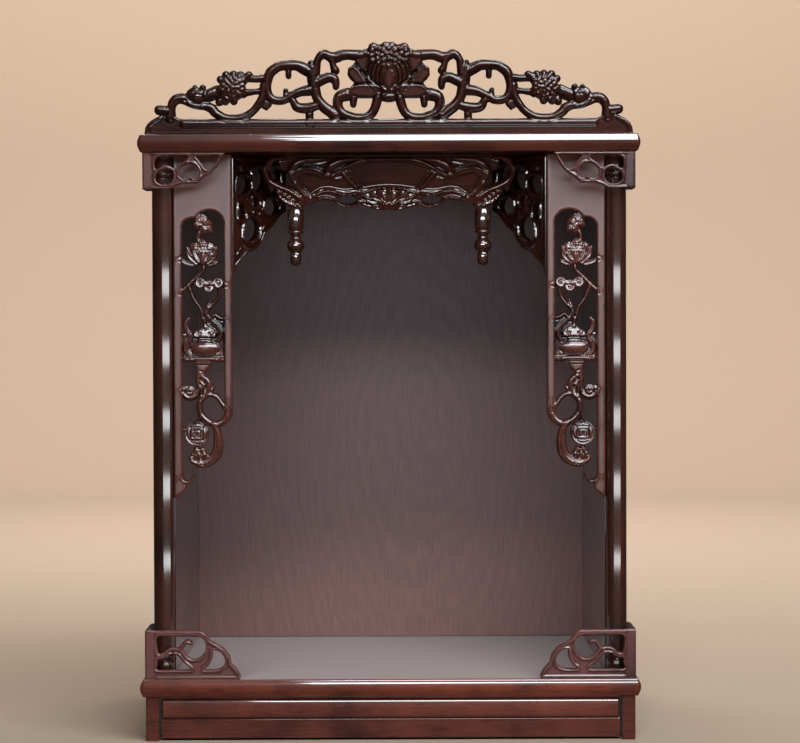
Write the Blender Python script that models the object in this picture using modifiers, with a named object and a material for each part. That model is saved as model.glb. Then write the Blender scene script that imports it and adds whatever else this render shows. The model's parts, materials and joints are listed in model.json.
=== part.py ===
"""Household altar cabinet: a small open-fronted shrine of dark lacquered hardwood.

Metres, +Z up. The front faces -Y, and the origin is on the ground under the middle of the cabinet.
The shapes of the carved boards are drawn in millimetres, in the plane of each board.
"""

import math

import bmesh
import bpy
import numpy as np
from mathutils import Matrix, Vector

MM = 0.001
FIT = 0.3 * MM  # the clearance between two pieces that touch

# The two slabs
WIDTH = 0.502
DEPTH = 0.330
SLAB = 0.0175
SLAB_ROUND = 0.0078
BASE_UNDER = 0.0445
BASE_TOP = BASE_UNDER + SLAB
ROOF_UNDER = 0.5895
ROOF_TOP = ROOF_UNDER + SLAB
FRONT = -DEPTH / 2

# Plinth: posts, aprons and waist mouldings
POST = 0.0135
POST_INSET = 0.0055
POST_MIDDLE_X = WIDTH / 2 - POST_INSET - POST / 2
POST_MIDDLE_Y = DEPTH / 2 - POST_INSET - POST / 2
APRON_INSET = 0.0085
APRON_THICK = 0.0095
APRON_REBATE = 0.0045
APRON_BOTTOM = 0.002
APRON_STEP = 0.0217
APRON_GAP = 0.0020
WAIST_LOW = 0.0225
WAIST_HIGH = 0.0415
WAIST_PROUD = 0.0075
WAIST_GAP = 0.0040

# Uprights and panels of the case
COLUMN_X = 0.2286
COLUMN_Y = FRONT + 0.026
COLUMN_RADIUS = 0.0101
COLUMN_FOOT_RADIUS = 0.0104
CASE_HALF = 0.2180
WALL = 0.0115
BACK_PANEL_Y = 0.135
BACK_PANEL_THICK = 0.008
REAR_POST = 0.0204

# Carved boards
FRET_WIDTH = 59.0
FRET_HEIGHT = 349.0
FRET_Y = FRONT + 0.024
FRET_THICK = 0.011
FRET_PROUD = 0.0012
CREST_Y = FRONT + 0.020
CREST_THICK = 0.013
BRACKET_INSET = 0.004
BRACKET_OUT = 0.005
BRACKET_THICK = 0.0065
CANOPY_Y = FRONT + 0.050
CANOPY_TILT = math.radians(13)
CANOPY_THICK = 0.009
CANOPY_PROUD = 0.0015
WING_OUTER = Vector((0.1600, FRONT + 0.0385, 0.4650))
WING_LENGTH = 82.8
WING_HEIGHT = 124.0
WING_TURN = math.radians(50.6)
WING_THICK = 0.008
PENDANT_X = 0.096
PENDANT_TOP = 0.5358

GRID = 0.8  # spacing of the grid on which an outline is traced, mm
STRAIGHTEN = 0.6  # how far an outline's straight runs may leave the curve, mm
SMALLEST_HOLE = 2.0  # square mm
FAR = 1e3

LACQUER = ("lacquered hardwood", (0.045, 0.012, 0.009), 0.22)
PANEL = ("lacquered panel wood", (0.060, 0.022, 0.018), 0.38)


# ---------------------------------------------------------------- flat shapes
# A shape is a function of x and z, in millimetres, that is negative inside it.


def smooth_path(stations, per_span=6):
    """A smooth curve through the stations (x, z, width), as rows of the same three numbers."""
    rows = np.array(stations, float)
    if len(rows) < 3:
        return rows
    rows = np.vstack([2 * rows[0] - rows[1], rows, 2 * rows[-1] - rows[-2]])
    t = np.linspace(0, 1, per_span, endpoint=False)[:, None]
    spans = []
    for a, b, c, d in zip(rows, rows[1:], rows[2:], rows[3:]):
        cubic = (2 * a - 5 * b + 4 * c - d) * t**2 + (3 * b - a - 3 * c + d) * t**3
        spans.append(b + ((c - a) * t + cubic) / 2)
    return np.vstack([*spans, rows[-2]])


def from_segment(x, z, a, b):
    """The distance to the segment, and how far along it the nearest point lies, from 0 to 1."""
    dx, dz = b[0] - a[0], b[1] - a[1]
    along = ((x - a[0]) * dx + (z - a[1]) * dz) / max(dx * dx + dz * dz, 1e-12)
    along = np.clip(along, 0, 1)
    return np.hypot(x - a[0] - along * dx, z - a[1] - along * dz), along


def vine(*stations):
    """A rounded strip through stations of x, z and width."""
    path = smooth_path(stations)

    def shape(x, z):
        nearest = np.full(x.shape, FAR)
        for a, b in zip(path, path[1:]):
            distance, along = from_segment(x, z, a, b)
            nearest = np.minimum(nearest, distance - (a[2] + (b[2] - a[2]) * along) / 2)
        return nearest

    return shape


def plate(*corners, grow=0.0):
    """A straight-sided shape. Growing it by a distance rounds its corners."""

    def shape(x, z):
        nearest = np.full(x.shape, FAR)
        inside = np.zeros(x.shape, bool)
        for a, b in zip(corners, corners[1:] + corners[:1]):
            nearest = np.minimum(nearest, from_segment(x, z, a, b)[0])
            level = (a[1] > z) != (b[1] > z)
            before = (x - a[0]) * (b[1] - a[1]) < (b[0] - a[0]) * (z - a[1])
            inside ^= level & (before == (b[1] > a[1]))
        return np.where(inside, -nearest, nearest) - grow

    return shape


def disc(x0, z0, radius, height=None):
    """A round, or an oval where a height is given."""
    squash = radius / (height or radius)
    return lambda x, z: np.hypot(x - x0, (z - z0) * squash) - radius


def joined(*shapes):
    return lambda x, z: np.minimum.reduce([shape(x, z) for shape in shapes])


def cut(shape, *holes):
    return lambda x, z: np.maximum.reduce([shape(x, z)] + [-hole(x, z) for hole in holes])


def shrunk(shape, inset):
    return lambda x, z: shape(x, z) + inset


def mirrored(shape):
    """The half at positive x, and its mirror image."""
    return lambda x, z: shape(np.abs(x), z)


# ---------------------------------------------------------------- what is carved

CREST_LOTUS = (0, 62)
FLOWER_HEART = (157, 48)
BUD_HEART = (194.5, 39)
LOTUS_HEART = (29, 248)
BOWL_HEART = (31.5, 153.5)
COIN = (22.8, 67.2)
COIN_RADIUS = 12.4
COIN_HOLE = 2.0  # half its side


def crest_vines():
    """Half of the crest: the rail, and the scrolling stems that grow from its end to the middle."""
    return joined(
        plate((-9, 0), (246, 0), (245, 8), (242.5, 12.5), (239, 15.5), (232, 19.5), (224, 24),
              (214.5, 19.5), (210, 17.2), (-9, 16.6)),
        vine((223, 25, 11), (231, 26, 10)),
        vine((220, 18, 12), (218.8, 28, 8.6), (217, 33.4, 9.5), (213, 37, 10.3), (207, 37.5, 10.7),
             (200, 36, 10)),
        vine((188, 38, 14), (180, 41, 13), (172, 44, 14)),
        vine((150, 57, 7), (140, 57.5, 7.5), (132, 57.2, 7.5), (126, 57.8, 8)),
        vine((150, 43, 9), (140, 43.8, 7), (135, 44.3, 6), (128, 45, 7)),
        vine((187, 31, 8), (178.3, 27.6, 10), (174.5, 23.2, 9.5), (165, 18, 9), (155, 17, 9.5),
             (146, 18.7, 9), (137, 24.5, 7.8), (131.5, 31, 8), (126.5, 40, 8.5), (125.5, 50, 9)),
        plate((130, 36), (118, 34), (118.6, 30.5), (123, 26), (127.5, 28.5), grow=0.8),
        vine((79, 64, 12), (85.3, 67.3, 12), (92, 70.3, 10.6), (101, 70.7, 10), (109, 70, 9.6),
             (114.5, 67.2, 10), (119.5, 62.5, 10), (122.5, 52, 9), (121.5, 43, 8.5),
             (117.8, 37.4, 9), (112, 35.4, 8.8), (106, 35.8, 8.6), (100.5, 38.8, 9.5),
             (95, 41.5, 8.8), (88.5, 44.3, 9.8), (80, 45.6, 11.4)),
        vine((103.5, 40, 6), (103.6, 45.6, 5)),
        vine((101, 70, 6.5), (100.8, 59.8, 6)),
        vine((78.5, 66, 9), (78.3, 73.2, 5.6)),
        vine((77.5, 68, 9), (76.3, 57, 12), (74, 45, 11), (71.5, 37, 10), (66, 29.5, 11),
             (60, 25, 11.5), (53.5, 20, 12)),
        vine((99, 38, 8), (95.8, 34, 8), (92.8, 29.3, 9.6), (87, 27.6, 10.2), (80.5, 28, 10.4),
             (73, 30, 9)),
        vine((79.8, 12, 8.2), (79.8, 24, 8.2)),
        vine((74, 58, 10), (73.3, 68, 9.5), (71, 76.5, 7.5), (66.5, 81.3, 9), (61.5, 80.5, 9.5),
             (57, 75.5, 7.5), (55.8, 70, 6.8), (53.8, 65.3, 9)),
        vine((60, 80, 9), (53.5, 78.5, 11), (47.5, 80.6, 10.8), (41, 81.2, 10.2), (35, 80.7, 10.8),
             (27, 80, 12)),
        vine((73, 53, 11), (67, 56, 10.5), (60.5, 58.4, 10.4), (55, 57, 9.5), (53.2, 52.5, 7.8),
             (53.2, 49, 6.6)),
        vine((11, 41, 9), (12, 34, 9.8), (15.3, 24.8, 9.2), (21, 19.3, 9.5), (30, 17.2, 10),
             (39, 18.8, 10), (48, 23.5, 10), (51.4, 31.5, 10), (49.5, 38.5, 11.5), (43, 41, 13),
             (36, 42, 12)),
        vine((35.3, 40, 9), (35.8, 31.2, 6.6)),
    )


def crest_bud():
    return joined(
        disc(*BUD_HEART, 10),
        vine((196, 42, 8), (194.8, 48.8, 5)),
        vine((188, 42, 9), (187, 48.5, 6.5)),
        vine((200, 40, 8), (201, 43, 4)),
        vine((206, 34, 5), (196, 31, 7), (187, 29.8, 7.6)),
    )


def crest_flower():
    """An open flower: a round heart and rounded petals all round it."""
    tips = ((169, 56.5), (163.5, 61.2), (156, 61.6), (149, 61), (140.5, 60.8), (146, 42),
            (156, 34.8), (164.5, 34.6), (170.5, 33.8), (170, 46))
    petals = []
    for tip in tips:
        root = [heart + (end - heart) * 0.35 for heart, end in zip(FLOWER_HEART, tip)]
        petals.append(vine((*root, 12), (*tip, 8)))
    return joined(disc(*FLOWER_HEART, 13), *petals)


def crest_lotus():
    """Half of the lotus in the middle of the crest."""
    return joined(
        plate((-9, 91), (16, 91), (21, 87), (31, 84), (33.5, 73.5), (36, 70.5), (40.5, 67.5),
              (41, 61), (38.5, 57), (34, 53.2), (37.5, 48.8), (41, 43), (30, 38), (16, 38),
              (9, 38.5), (6.5, 35), (2, 33.8), (-9, 33.8), grow=0.5),
        disc(3, 89.2, 4.8),
        disc(15.5, 88, 5),
    )


def fret_frame():
    """The two long stiles of a fret board, its head, and the scroll that ends the inner stile."""
    slot = joined(
        plate((8.5, -9), (8.5, 274), (51, 277.8), (51, -9)),
        disc(19, 274, 10.8),
        disc(36.5, 277.8, 15),
    )
    head = plate((0, 262), (0, FRET_HEIGHT), (FRET_WIDTH, FRET_HEIGHT), (FRET_WIDTH, 262))
    return joined(
        cut(head, slot),
        plate((0, 4), (0, 270), (8.5, 270), (8.5, 22), (11, 16), (12.5, 10.5), (7, 6.5), (2, 1)),
        plate((51, 92), (51, 270), (FRET_WIDTH, 270), (FRET_WIDTH, 92)),
        vine((55, 96, 8), (54.5, 87, 8), (50, 80, 7.5), (43, 76.5, 7), (35, 79, 6.5), (28.5, 85, 6),
             (25.5, 93, 6), (27, 100.5, 6), (32.5, 106.5, 6), (35.5, 113, 6), (34.5, 120, 5.5),
             (29, 125, 5)),
        vine((29, 103, 5), (36, 106.5, 4.5), (43, 104.5, 5), (48, 98, 5), (53, 91, 6)),
        vine((7, 22, 5), (11, 18.5, 4), (16, 18.5, 3.5), (20.5, 25.5, 3)),
    )


def fret_stems():
    """The stems, ribbons and scrolls that hang in the slot of a fret board."""
    return joined(
        vine((28, 274, 5), (24.5, 265, 4), (27, 257, 5)),
        vine((31, 276, 6), (38, 271, 5)),
        vine((30, 240, 4), (30, 232, 4), (23, 225, 4.5), (15, 217, 6), (7, 210, 5)),
        vine((22, 224, 4), (28, 219, 4)),
        vine((43, 217, 5), (53, 217, 4.5)),
        vine((15, 217, 5), (18, 209, 3.5), (22, 201, 3.5), (27, 194, 3.5), (29, 186, 3.5),
             (31.5, 177, 3.5)),
        vine((45, 216, 4), (46, 208, 3.5), (41.5, 200, 3.5), (36, 194, 3.5), (32, 188, 3.5)),
        vine((36.5, 200.5, 4.5), (34, 193, 4)),
        vine((34, 195, 4), (32.5, 187.5, 4), (37, 179.5, 4), (42, 173.5, 4), (44, 167, 4),
             (40, 161, 4)),
        vine((36, 181, 3), (41, 187, 4), (47, 184, 4), (53, 183, 3)),
        vine((15, 183, 3.5), (12, 178, 4.5), (13.5, 172, 4.5), (17, 165.5, 5), (13, 158.5, 5),
             (12.5, 151.5, 5), (17, 144.5, 4)),
        vine((24, 123, 4), (25, 112, 4.5), (21, 105, 6), (14, 104, 7), (7, 110, 5)),
        vine((23, 123, 4), (29, 125, 4)),
        vine((29.5, 121, 4), (31.5, 116, 4)),
        vine((25, 120, 7), (29, 113, 7), (28, 105, 5)),
        disc(16, 110.5, 5.5),
        disc(11, 112, 3.5),
        vine((36, 106, 3), (40, 114, 3)),
        vine((23, 77, 4), (27, 85, 5)),
        vine((7, 73, 3), (13, 70, 4)),
        vine((40, 78, 6), (43.5, 68, 8), (44.5, 57, 9.5), (42, 46, 10.5), (35, 39, 10), (26, 37, 8),
             (17, 40, 4)),
        vine((19, 47, 4), (25, 50.5, 5), (31, 47.5, 4)),
        vine((23, 48, 4), (23, 56, 4)),
        vine((25, 48, 5), (27, 39, 6)),
    )


def fret_flower():
    """The rosette and the lotus at the top of a fret board's slot."""
    return joined(
        disc(28.3, 282, 6.5),
        disc(34, 279, 4.5),
        disc(31, 274, 5),
        disc(36, 273.5, 3.5),
        disc(23.5, 277.5, 3.5),
        disc(*LOTUS_HEART, 11),
        disc(21, 255, 5),
        disc(29, 258.5, 5),
        disc(37, 255, 5),
        vine((28, 240, 5), (17, 238.5, 5), (7, 243, 4)),
        vine((24, 240, 6), (17, 246, 6), (14, 255, 2.5)),
        vine((34, 240, 6), (41, 246, 6), (43.5, 255, 2.5)),
        vine((31, 240, 5), (38, 238, 5), (45, 241, 3.5)),
    )


def fret_cloud():
    return joined(
        disc(28, 219, 4.6),
        disc(44, 219, 4.6),
        disc(35.5, 215.3, 4.8),
        vine((28, 219.5, 6.5), (44, 219.5, 6.5)),
    )


def fret_bowl():
    """The lidded offering bowl on its foot."""
    return joined(
        vine((31.5, 184, 3), (31.5, 172, 4.5)),
        plate((20.5, 165), (21, 169), (25.5, 171.8), (29.5, 175), (32, 178), (35.5, 175),
              (39.5, 172.5), (42.3, 169.5), (42.3, 165), grow=0.5),
        plate((25, 160), (25, 166), (38, 166), (38, 160)),
        disc(*BOWL_HEART, 14.8, 8),
        vine((20, 142.5, 5), (42, 142.5, 5)),
        disc(13, 141.5, 3),
        disc(17.5, 141.5, 3),
        disc(43.5, 141.5, 3),
        disc(48.5, 141.5, 3),
        plate((22, 140), (37, 140), (35, 132), (28, 126), (25.5, 121), (22.5, 121), (23, 128)),
    )


def fret_coin():
    """An old coin with a square hole."""
    x, z = COIN
    left, right, low, high = x - COIN_HOLE, x + COIN_HOLE, z - COIN_HOLE, z + COIN_HOLE
    hole = plate((left, low), (left, high), (right, high), (right, low))
    return cut(disc(x, z, COIN_RADIUS), hole)


def fret_ground():
    """The ground that is left behind the bowl, where the slot isn't pierced."""
    return plate((7, 140.5), (7, 168.5), (17, 168.5), (30, 172), (38, 185), (52, 184), (52, 140.5))


def rail_bracket():
    """A corner bracket on the base slab: x from its outer corner, z up from the slab."""
    board = plate((0, 0), (0, 48.7), (56, 48.7), (61, 45.7), (65.4, 39), (72.7, 34.7), (79.7, 30.3),
                  (85, 23), (86.5, 15.7), (93, 8.7), (96, 2.7), (95, 0))
    return cut(
        board,
        plate((14, 40.7), (14, 29.5), (17, 27.5), (24.7, 35), (30.5, 33.2), (36.3, 37), (43, 40),
              grow=2),
        disc(50.5, 29.2, 8.8),
        vine((42, 38, 6), (47, 34, 6)),
        plate((20.3, 21), (14.3, 16.5), (15.5, 11.3), (41.5, 12), (35.5, 18.2), grow=2),
        plate((68, 27), (76.5, 23.5), (77.2, 16.5), (72, 12), (62, 11.3), (67, 19.5), grow=2),
    )


def roof_bracket():
    """A corner bracket under the roof slab: x from its outer corner, z down from the slab."""
    board = plate((0, 0), (0, 36.8), (27, 36.8), (31.7, 34), (39.7, 31), (55, 31), (61, 24.7),
                  (68, 21), (74.5, 14), (79, 5), (82.6, 0))
    return cut(
        board,
        plate((14, 16), (17.5, 7.5), (24, 5), (43.5, 6), (32.5, 15.5), (22.7, 12.4), (17, 16.5),
              grow=1.8),
        plate((56, 7.3), (74.5, 6), (70.5, 14.5), (64.5, 18), (61, 15.3), grow=1.8),
        plate((15, 25.5), (22.9, 19.8), (29.7, 21.7), (29.7, 26.2), (22.5, 30.6), grow=1.8),
        plate((38, 21.5), (46, 14), (53.5, 15.5), (56, 22), (53, 26), (47.7, 24.3), (41, 28),
              grow=1.8),
    )


def canopy_board():
    """Half of the canopy: x from the middle, z down the board from the roof slab."""
    fan = plate((-9, 0), (17, 0), (33, 3), (46, 9.5), (54, 14.5), (60, 16.5), (66, 14.5), (74, 10.5),
                (83, 9), (92, 10), (104, 16.5), (98, 28), (94, 38), (86, 49), (78, 47),
                (70, 44.5), (58, 45.5), (50, 50.5), (38, 52.5), (30, 49.5), (22, 51.5), (12, 54.5),
                (-9, 55.5))
    scroll = vine((108, 0, 5), (117, 1.5, 5.5), (123, 6.5, 6), (126, 15, 6.5), (122.5, 24, 7.5),
                  (113, 30, 8), (102, 34.5, 8), (92.5, 41, 8), (89, 48.5, 7))
    above = plate((-9, -9), (140, -9), (140, 0), (-9, 0))
    return joined(
        cut(fan, disc(43.5, 44.2, 10, 4.8)),
        cut(scroll, above),
        plate((116, 35), (111, 42), (106, 48), (101, 51.2), (90, 51.2), (90, 44), (100, 37), (110, 33),
              grow=0.8),
    )


def canopy_flower():
    return joined(disc(0, 43, 12), disc(11, 43, 9), disc(21, 43, 6))


def wing_board():
    """A splayed wing: x from the fret board, z up from its lower tip."""
    board = plate((0, 0), (0, WING_HEIGHT), (WING_LENGTH, WING_HEIGHT), (WING_LENGTH, 69), (75, 66),
                  (60, 51.5), (51, 46), (46.8, 38), (38, 29.3), (25, 25.5), (18.8, 20), (6, 10),
                  (3, 1))
    return cut(
        board,
        plate((12, 88), (13, 100), (20, 102), (27, 98), (22, 88), grow=2),
        plate((36, 92), (34, 108), (44, 112), (50, 104), (46, 94), grow=2),
        plate((58, 96), (56, 112), (71, 112), (71, 96), (66, 91), grow=2),
        plate((53, 70), (55, 79), (66, 80), (70, 74), (66, 69), grow=2),
        plate((13, 61), (14, 72), (18, 72), (19, 63), grow=2),
        plate((20, 43), (25, 56), (32, 60), (40, 55), (38, 45), (29, 40), grow=2),
        disc(37, 78, 5.5),
    )


# ---------------------------------------------------------------- making pieces


def clear_scene():
    for old in list(bpy.data.objects):
        bpy.data.objects.remove(old)


def collection(name, hidden=False):
    made = bpy.data.collections.new(name)
    made.hide_render = hidden
    bpy.context.scene.collection.children.link(made)
    return made


def finish_of(finish):
    name, colour, roughness = finish
    made = bpy.data.materials.get(name)
    if made:
        return made
    made = bpy.data.materials.new(name)
    made.use_nodes = True
    shader = made.node_tree.nodes["Principled BSDF"]
    shader.inputs["Base Color"].default_value = (*colour, 1)
    shader.inputs["Roughness"].default_value = roughness
    shader.inputs["Metallic"].default_value = 0
    return made


def add_piece(name, mesh, finish=LACQUER, into=None):
    piece = bpy.data.objects.new(name, mesh)
    mesh.materials.append(finish_of(finish))
    (into or PIECES).objects.link(piece)
    return piece


def block(name, low, high, finish=LACQUER, rounded=0.0, steps=1):
    """A block between two corners, its edges rounded where a radius is given."""
    low, high = Vector(low), Vector(high)
    shaping = bmesh.new()
    bmesh.ops.create_cube(shaping, size=1, matrix=Matrix.Diagonal((*(high - low), 1)))
    mesh = bpy.data.meshes.new(name)
    shaping.to_mesh(mesh)
    shaping.free()
    piece = add_piece(name, mesh, finish)
    piece.location = (low + high) / 2
    if rounded:
        bevel = piece.modifiers.new("rounded edges", "BEVEL")
        bevel.width = rounded
        bevel.segments = steps
    return piece


def turned(name, profile, place, steps=18):
    """A turned piece: its profile of radius and height runs down its outer side."""
    points = [(radius, 0, height) for radius, height in profile]
    edges = [(i, i + 1) for i in range(len(points) - 1)]
    mesh = bpy.data.meshes.new(name)
    mesh.from_pydata(points, edges, [])
    piece = add_piece(name, mesh)
    piece.location = place
    lathe = piece.modifiers.new("turned on its axis", "SCREW")
    lathe.angle = math.tau
    lathe.steps = lathe.render_steps = steps
    lathe.use_merge_vertices = True
    lathe.merge_threshold = 1e-5
    return piece


def bead(top, bottom, inner, outer, steps):
    """The outer side of a rounded bead, from its top to its bottom."""
    rows = []
    for step in range(steps + 1):
        turn = math.pi * step / steps
        height = (top + bottom) / 2 + (top - bottom) / 2 * math.cos(turn)
        rows.append((inner + (outer - inner) * math.sin(turn), height))
    return rows


def flat_curve(name, loops, thickness):
    """A flat outline, as a curve of half the thickness on each side of its plane."""
    curve = bpy.data.curves.new(name, "CURVE")
    curve.dimensions = "2D"
    curve.fill_mode = "BOTH"
    curve.extrude = thickness / 2
    for loop in loops:
        spline = curve.splines.new("POLY")
        spline.points.add(len(loop) - 1)
        for point, (x, z) in zip(spline.points, loop):
            point.co = (x, z, 0, 1)
        spline.use_cyclic_u = True
    return curve


def solid_of(name, loops, thickness):
    """The closed mesh of a flat outline."""
    guide = bpy.data.objects.new(name, flat_curve(name, loops, thickness))
    PIECES.objects.link(guide)
    bpy.context.view_layer.update()
    graph = bpy.context.evaluated_depsgraph_get()
    mesh = bpy.data.meshes.new_from_object(guide.evaluated_get(graph))
    bpy.data.objects.remove(guide)
    shaping = bmesh.new()
    shaping.from_mesh(mesh)
    bmesh.ops.remove_doubles(shaping, verts=shaping.verts, dist=1e-6)
    shaping.to_mesh(mesh)
    shaping.free()
    mesh.name = name
    mesh.materials.clear()
    return mesh


def crossings(shape, low, high):
    """The points where a grid's edges cross the shape's outline, each linked to the next."""
    xs = np.arange(low[0], high[0] + GRID, GRID)
    zs = np.arange(low[1], high[1] + GRID, GRID)
    x, z = np.meshgrid(xs, zs, indexing="ij")
    value = shape(x, z)
    inside = value < 0
    corners = inside[:-1, :-1].astype(int) + inside[1:, :-1] + inside[:-1, 1:] + inside[1:, 1:]
    points, links = {}, {}

    def crossing(a, b):
        key = (min(a, b), max(a, b))
        share = value[key[0]] / (value[key[0]] - value[key[1]])
        share = min(max(share, 0.02), 0.98)
        (i, j), (k, m) = key
        points[key] = (xs[i] + (xs[k] - xs[i]) * share, zs[j] + (zs[m] - zs[j]) * share)
        return key

    for i, j in np.argwhere((corners > 0) & (corners < 4)):
        square = ((i, j), (i + 1, j), (i + 1, j + 1), (i, j + 1))
        for triangle in (square[:3], (square[0], *square[2:])):
            state = [inside[corner] for corner in triangle]
            if sum(state) not in (1, 2):
                continue
            odd = state.index(sum(state) == 1)
            a, b, c = triangle[odd], triangle[odd - 2], triangle[odd - 1]
            start, end = crossing(a, b), crossing(a, c)
            if sum(state) == 2:
                start, end = end, start
            links[start] = end
    return points, links


def straightened(run):
    """Leaves out the points of an open run that lie near the straight line between its ends."""
    if len(run) < 3:
        return list(run)
    away = from_segment(run[:, 0], run[:, 1], run[0], run[-1])[0]
    far = int(away.argmax())
    if away[far] <= STRAIGHTEN:
        return [run[0], run[-1]]
    return straightened(run[: far + 1])[:-1] + straightened(run[far:])


def outline(shape, low, high):
    """The closed loops of a shape's outline, with few points, in metres."""
    points, links = crossings(shape, low, high)
    loops = []
    while links:
        start = next(iter(links))
        loop = [points[start]]
        step = links.pop(start)
        while step != start:
            loop.append(points[step])
            step = links.pop(step)
        loop = np.array(loop)
        far = int(np.hypot(*(loop - loop[0]).T).argmax())
        back = np.vstack([loop[far:], loop[:1]])
        loop = np.array(straightened(loop[: far + 1])[:-1] + straightened(back)[:-1])
        x, z = loop.T
        area = abs((x * np.roll(z, -1) - z * np.roll(x, -1)).sum()) / 2
        if area > SMALLEST_HOLE:
            loops.append(loop * MM)
    return loops


def flipped(loops):
    return [loop * (-1, 1) for loop in loops]


def hung(loops):
    """Loops drawn downwards from the top edge of their board."""
    return [loop * (1, -1) for loop in loops]


def board(name, layers, origin, across=(1, 0, 0), up=(0, 0, 1)):
    """A carved board of one or more layers, each of loops, thickness and how far it stands proud.

    The origin is on the board's face, and the layers are joined into one body.
    """
    across, up = Vector(across), Vector(up)
    out = across.cross(up)
    place = Matrix.Translation(origin) @ Matrix((across, up, out)).transposed().to_4x4()
    first = None
    for number, (loops, thickness, proud) in enumerate(layers):
        layer_name = name if first is None else f"{name}_layer_{number}"
        mesh = solid_of(layer_name, loops, thickness)
        mesh.transform(Matrix.Translation((0, 0, proud - thickness / 2)))
        piece = add_piece(layer_name, mesh, into=PIECES if first is None else LAYERS)
        piece.matrix_world = place
        if first is None:
            first = piece
            continue
        piece.hide_render = True
        piece.display_type = "WIRE"
        join = first.modifiers.new(f"layer {number}", "BOOLEAN")
        join.operation = "UNION"
        join.solver = "EXACT"
        join.object = piece
    return first


# ---------------------------------------------------------------- the cabinet


def slabs():
    for name, under in (("base_slab", BASE_UNDER), ("roof_slab", ROOF_UNDER)):
        low = (-WIDTH / 2, -DEPTH / 2, under)
        high = (WIDTH / 2, DEPTH / 2, under + SLAB)
        block(name, low, high, rounded=SLAB_ROUND, steps=3)


def foot_posts():
    for name, side, end in (("fl", -1, -1), ("fr", 1, -1), ("bl", -1, 1), ("br", 1, 1)):
        x, y = side * POST_MIDDLE_X, end * POST_MIDDLE_Y
        low = (x - POST / 2, y - POST / 2, 0)
        high = (x + POST / 2, y + POST / 2, BASE_UNDER - FIT)
        block(f"foot_post_{name}", low, high, rounded=1 * MM)


def strip(name, profile, length, middle, outward):
    """A moulding of a constant profile, given as points of how far it stands out and its height."""
    outward = Vector(outward)
    mesh = solid_of(name, [np.array(profile)], length)
    piece = add_piece(name, mesh)
    up = Vector((0, 0, 1))
    turn = Matrix((outward, up, outward.cross(up))).transposed().to_4x4()
    piece.matrix_world = Matrix.Translation(middle) @ turn
    return piece


def waist_profile():
    """A round-nosed bar: flat behind, a half oval in front."""
    rows = []
    middle, half = (WAIST_LOW + WAIST_HIGH) / 2, (WAIST_HIGH - WAIST_LOW) / 2
    for step in range(9):
        turn = math.pi * step / 8
        rows.append((WAIST_PROUD * math.sin(turn), middle - half * math.cos(turn)))
    return rows


def plinth():
    """Aprons under the base slab, with a waist moulding in a rebate at the front and the sides."""
    top = BASE_UNDER - FIT
    stepped = [(-APRON_THICK, APRON_BOTTOM), (-1 * MM, APRON_BOTTOM), (0, APRON_BOTTOM + 1 * MM),
               (0, APRON_STEP - 1.5 * MM), (-1.5 * MM, APRON_STEP), (-APRON_REBATE, APRON_STEP),
               (-APRON_REBATE, top), (-APRON_THICK, top)]
    plain = [(-APRON_THICK, APRON_BOTTOM), (0, APRON_BOTTOM), (0, top), (-APRON_THICK, top)]
    face_x, face_y = WIDTH / 2 - APRON_INSET, DEPTH / 2 - APRON_INSET
    between_x = 2 * (POST_MIDDLE_X - POST / 2)
    between_y = 2 * (POST_MIDDLE_Y - POST / 2)
    sides = (
        ("front", (0, -face_y, 0), (0, -1, 0), between_x, stepped),
        ("left", (-face_x, 0, 0), (-1, 0, 0), between_y, stepped),
        ("right", (face_x, 0, 0), (1, 0, 0), between_y, stepped),
        ("back", (0, face_y, 0), (0, 1, 0), between_x, plain),
    )
    for side, middle, outward, between, profile in sides:
        strip(f"apron_{side}", profile, between - 2 * APRON_GAP, middle, outward)
        if profile is plain:
            continue
        back = Vector(middle) - (APRON_REBATE - FIT) * Vector(outward)
        strip(f"waist_{side}", waist_profile(), between - 2 * WAIST_GAP, back, outward)


def columns():
    """Round front columns with the same turned foot and cap."""
    half = (ROOF_UNDER - BASE_TOP) / 2 - FIT
    groove = COLUMN_RADIUS - 1.6 * MM
    end = [(0, half), (COLUMN_FOOT_RADIUS, half), (COLUMN_FOOT_RADIUS, half - 4 * MM),
           (groove, half - 5 * MM)]
    end += bead(half - 5 * MM, half - 18 * MM, groove, COLUMN_FOOT_RADIUS, 4)[1:]
    end += bead(half - 18 * MM, half - 23 * MM, groove, COLUMN_FOOT_RADIUS, 2)[1:]
    end += [(COLUMN_RADIUS, half - 25 * MM)]
    profile = end + [(radius, -height) for radius, height in reversed(end)]
    middle = (BASE_TOP + ROOF_UNDER) / 2
    for side, sign in (("left", -1), ("right", 1)):
        turned(f"column_{side}", profile, (sign * COLUMN_X, COLUMN_Y, middle), steps=14)


def case():
    """Side panels, rear posts and the back panel."""
    low_z, high_z = BASE_TOP + FIT, ROOF_UNDER - FIT
    panel_end = COLUMN_Y + COLUMN_FOOT_RADIUS + FIT
    for side, sign in (("left", -1), ("right", 1)):
        x = sorted((sign * CASE_HALF, sign * (CASE_HALF + WALL)))
        block(f"side_panel_{side}", (x[0], panel_end, low_z), (x[1], -panel_end, high_z))
        x = sorted((sign * CASE_HALF, sign * (CASE_HALF + REAR_POST)))
        low = (x[0], -panel_end + FIT, low_z)
        high = (x[1], -panel_end + FIT + REAR_POST, high_z)
        block(f"rear_post_{side}", low, high, rounded=1.5 * MM)
    half = CASE_HALF - FIT
    low = (-half, BACK_PANEL_Y, low_z)
    high = (half, BACK_PANEL_Y + BACK_PANEL_THICK, high_z)
    block("back_panel", low, high, finish=PANEL)


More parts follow.
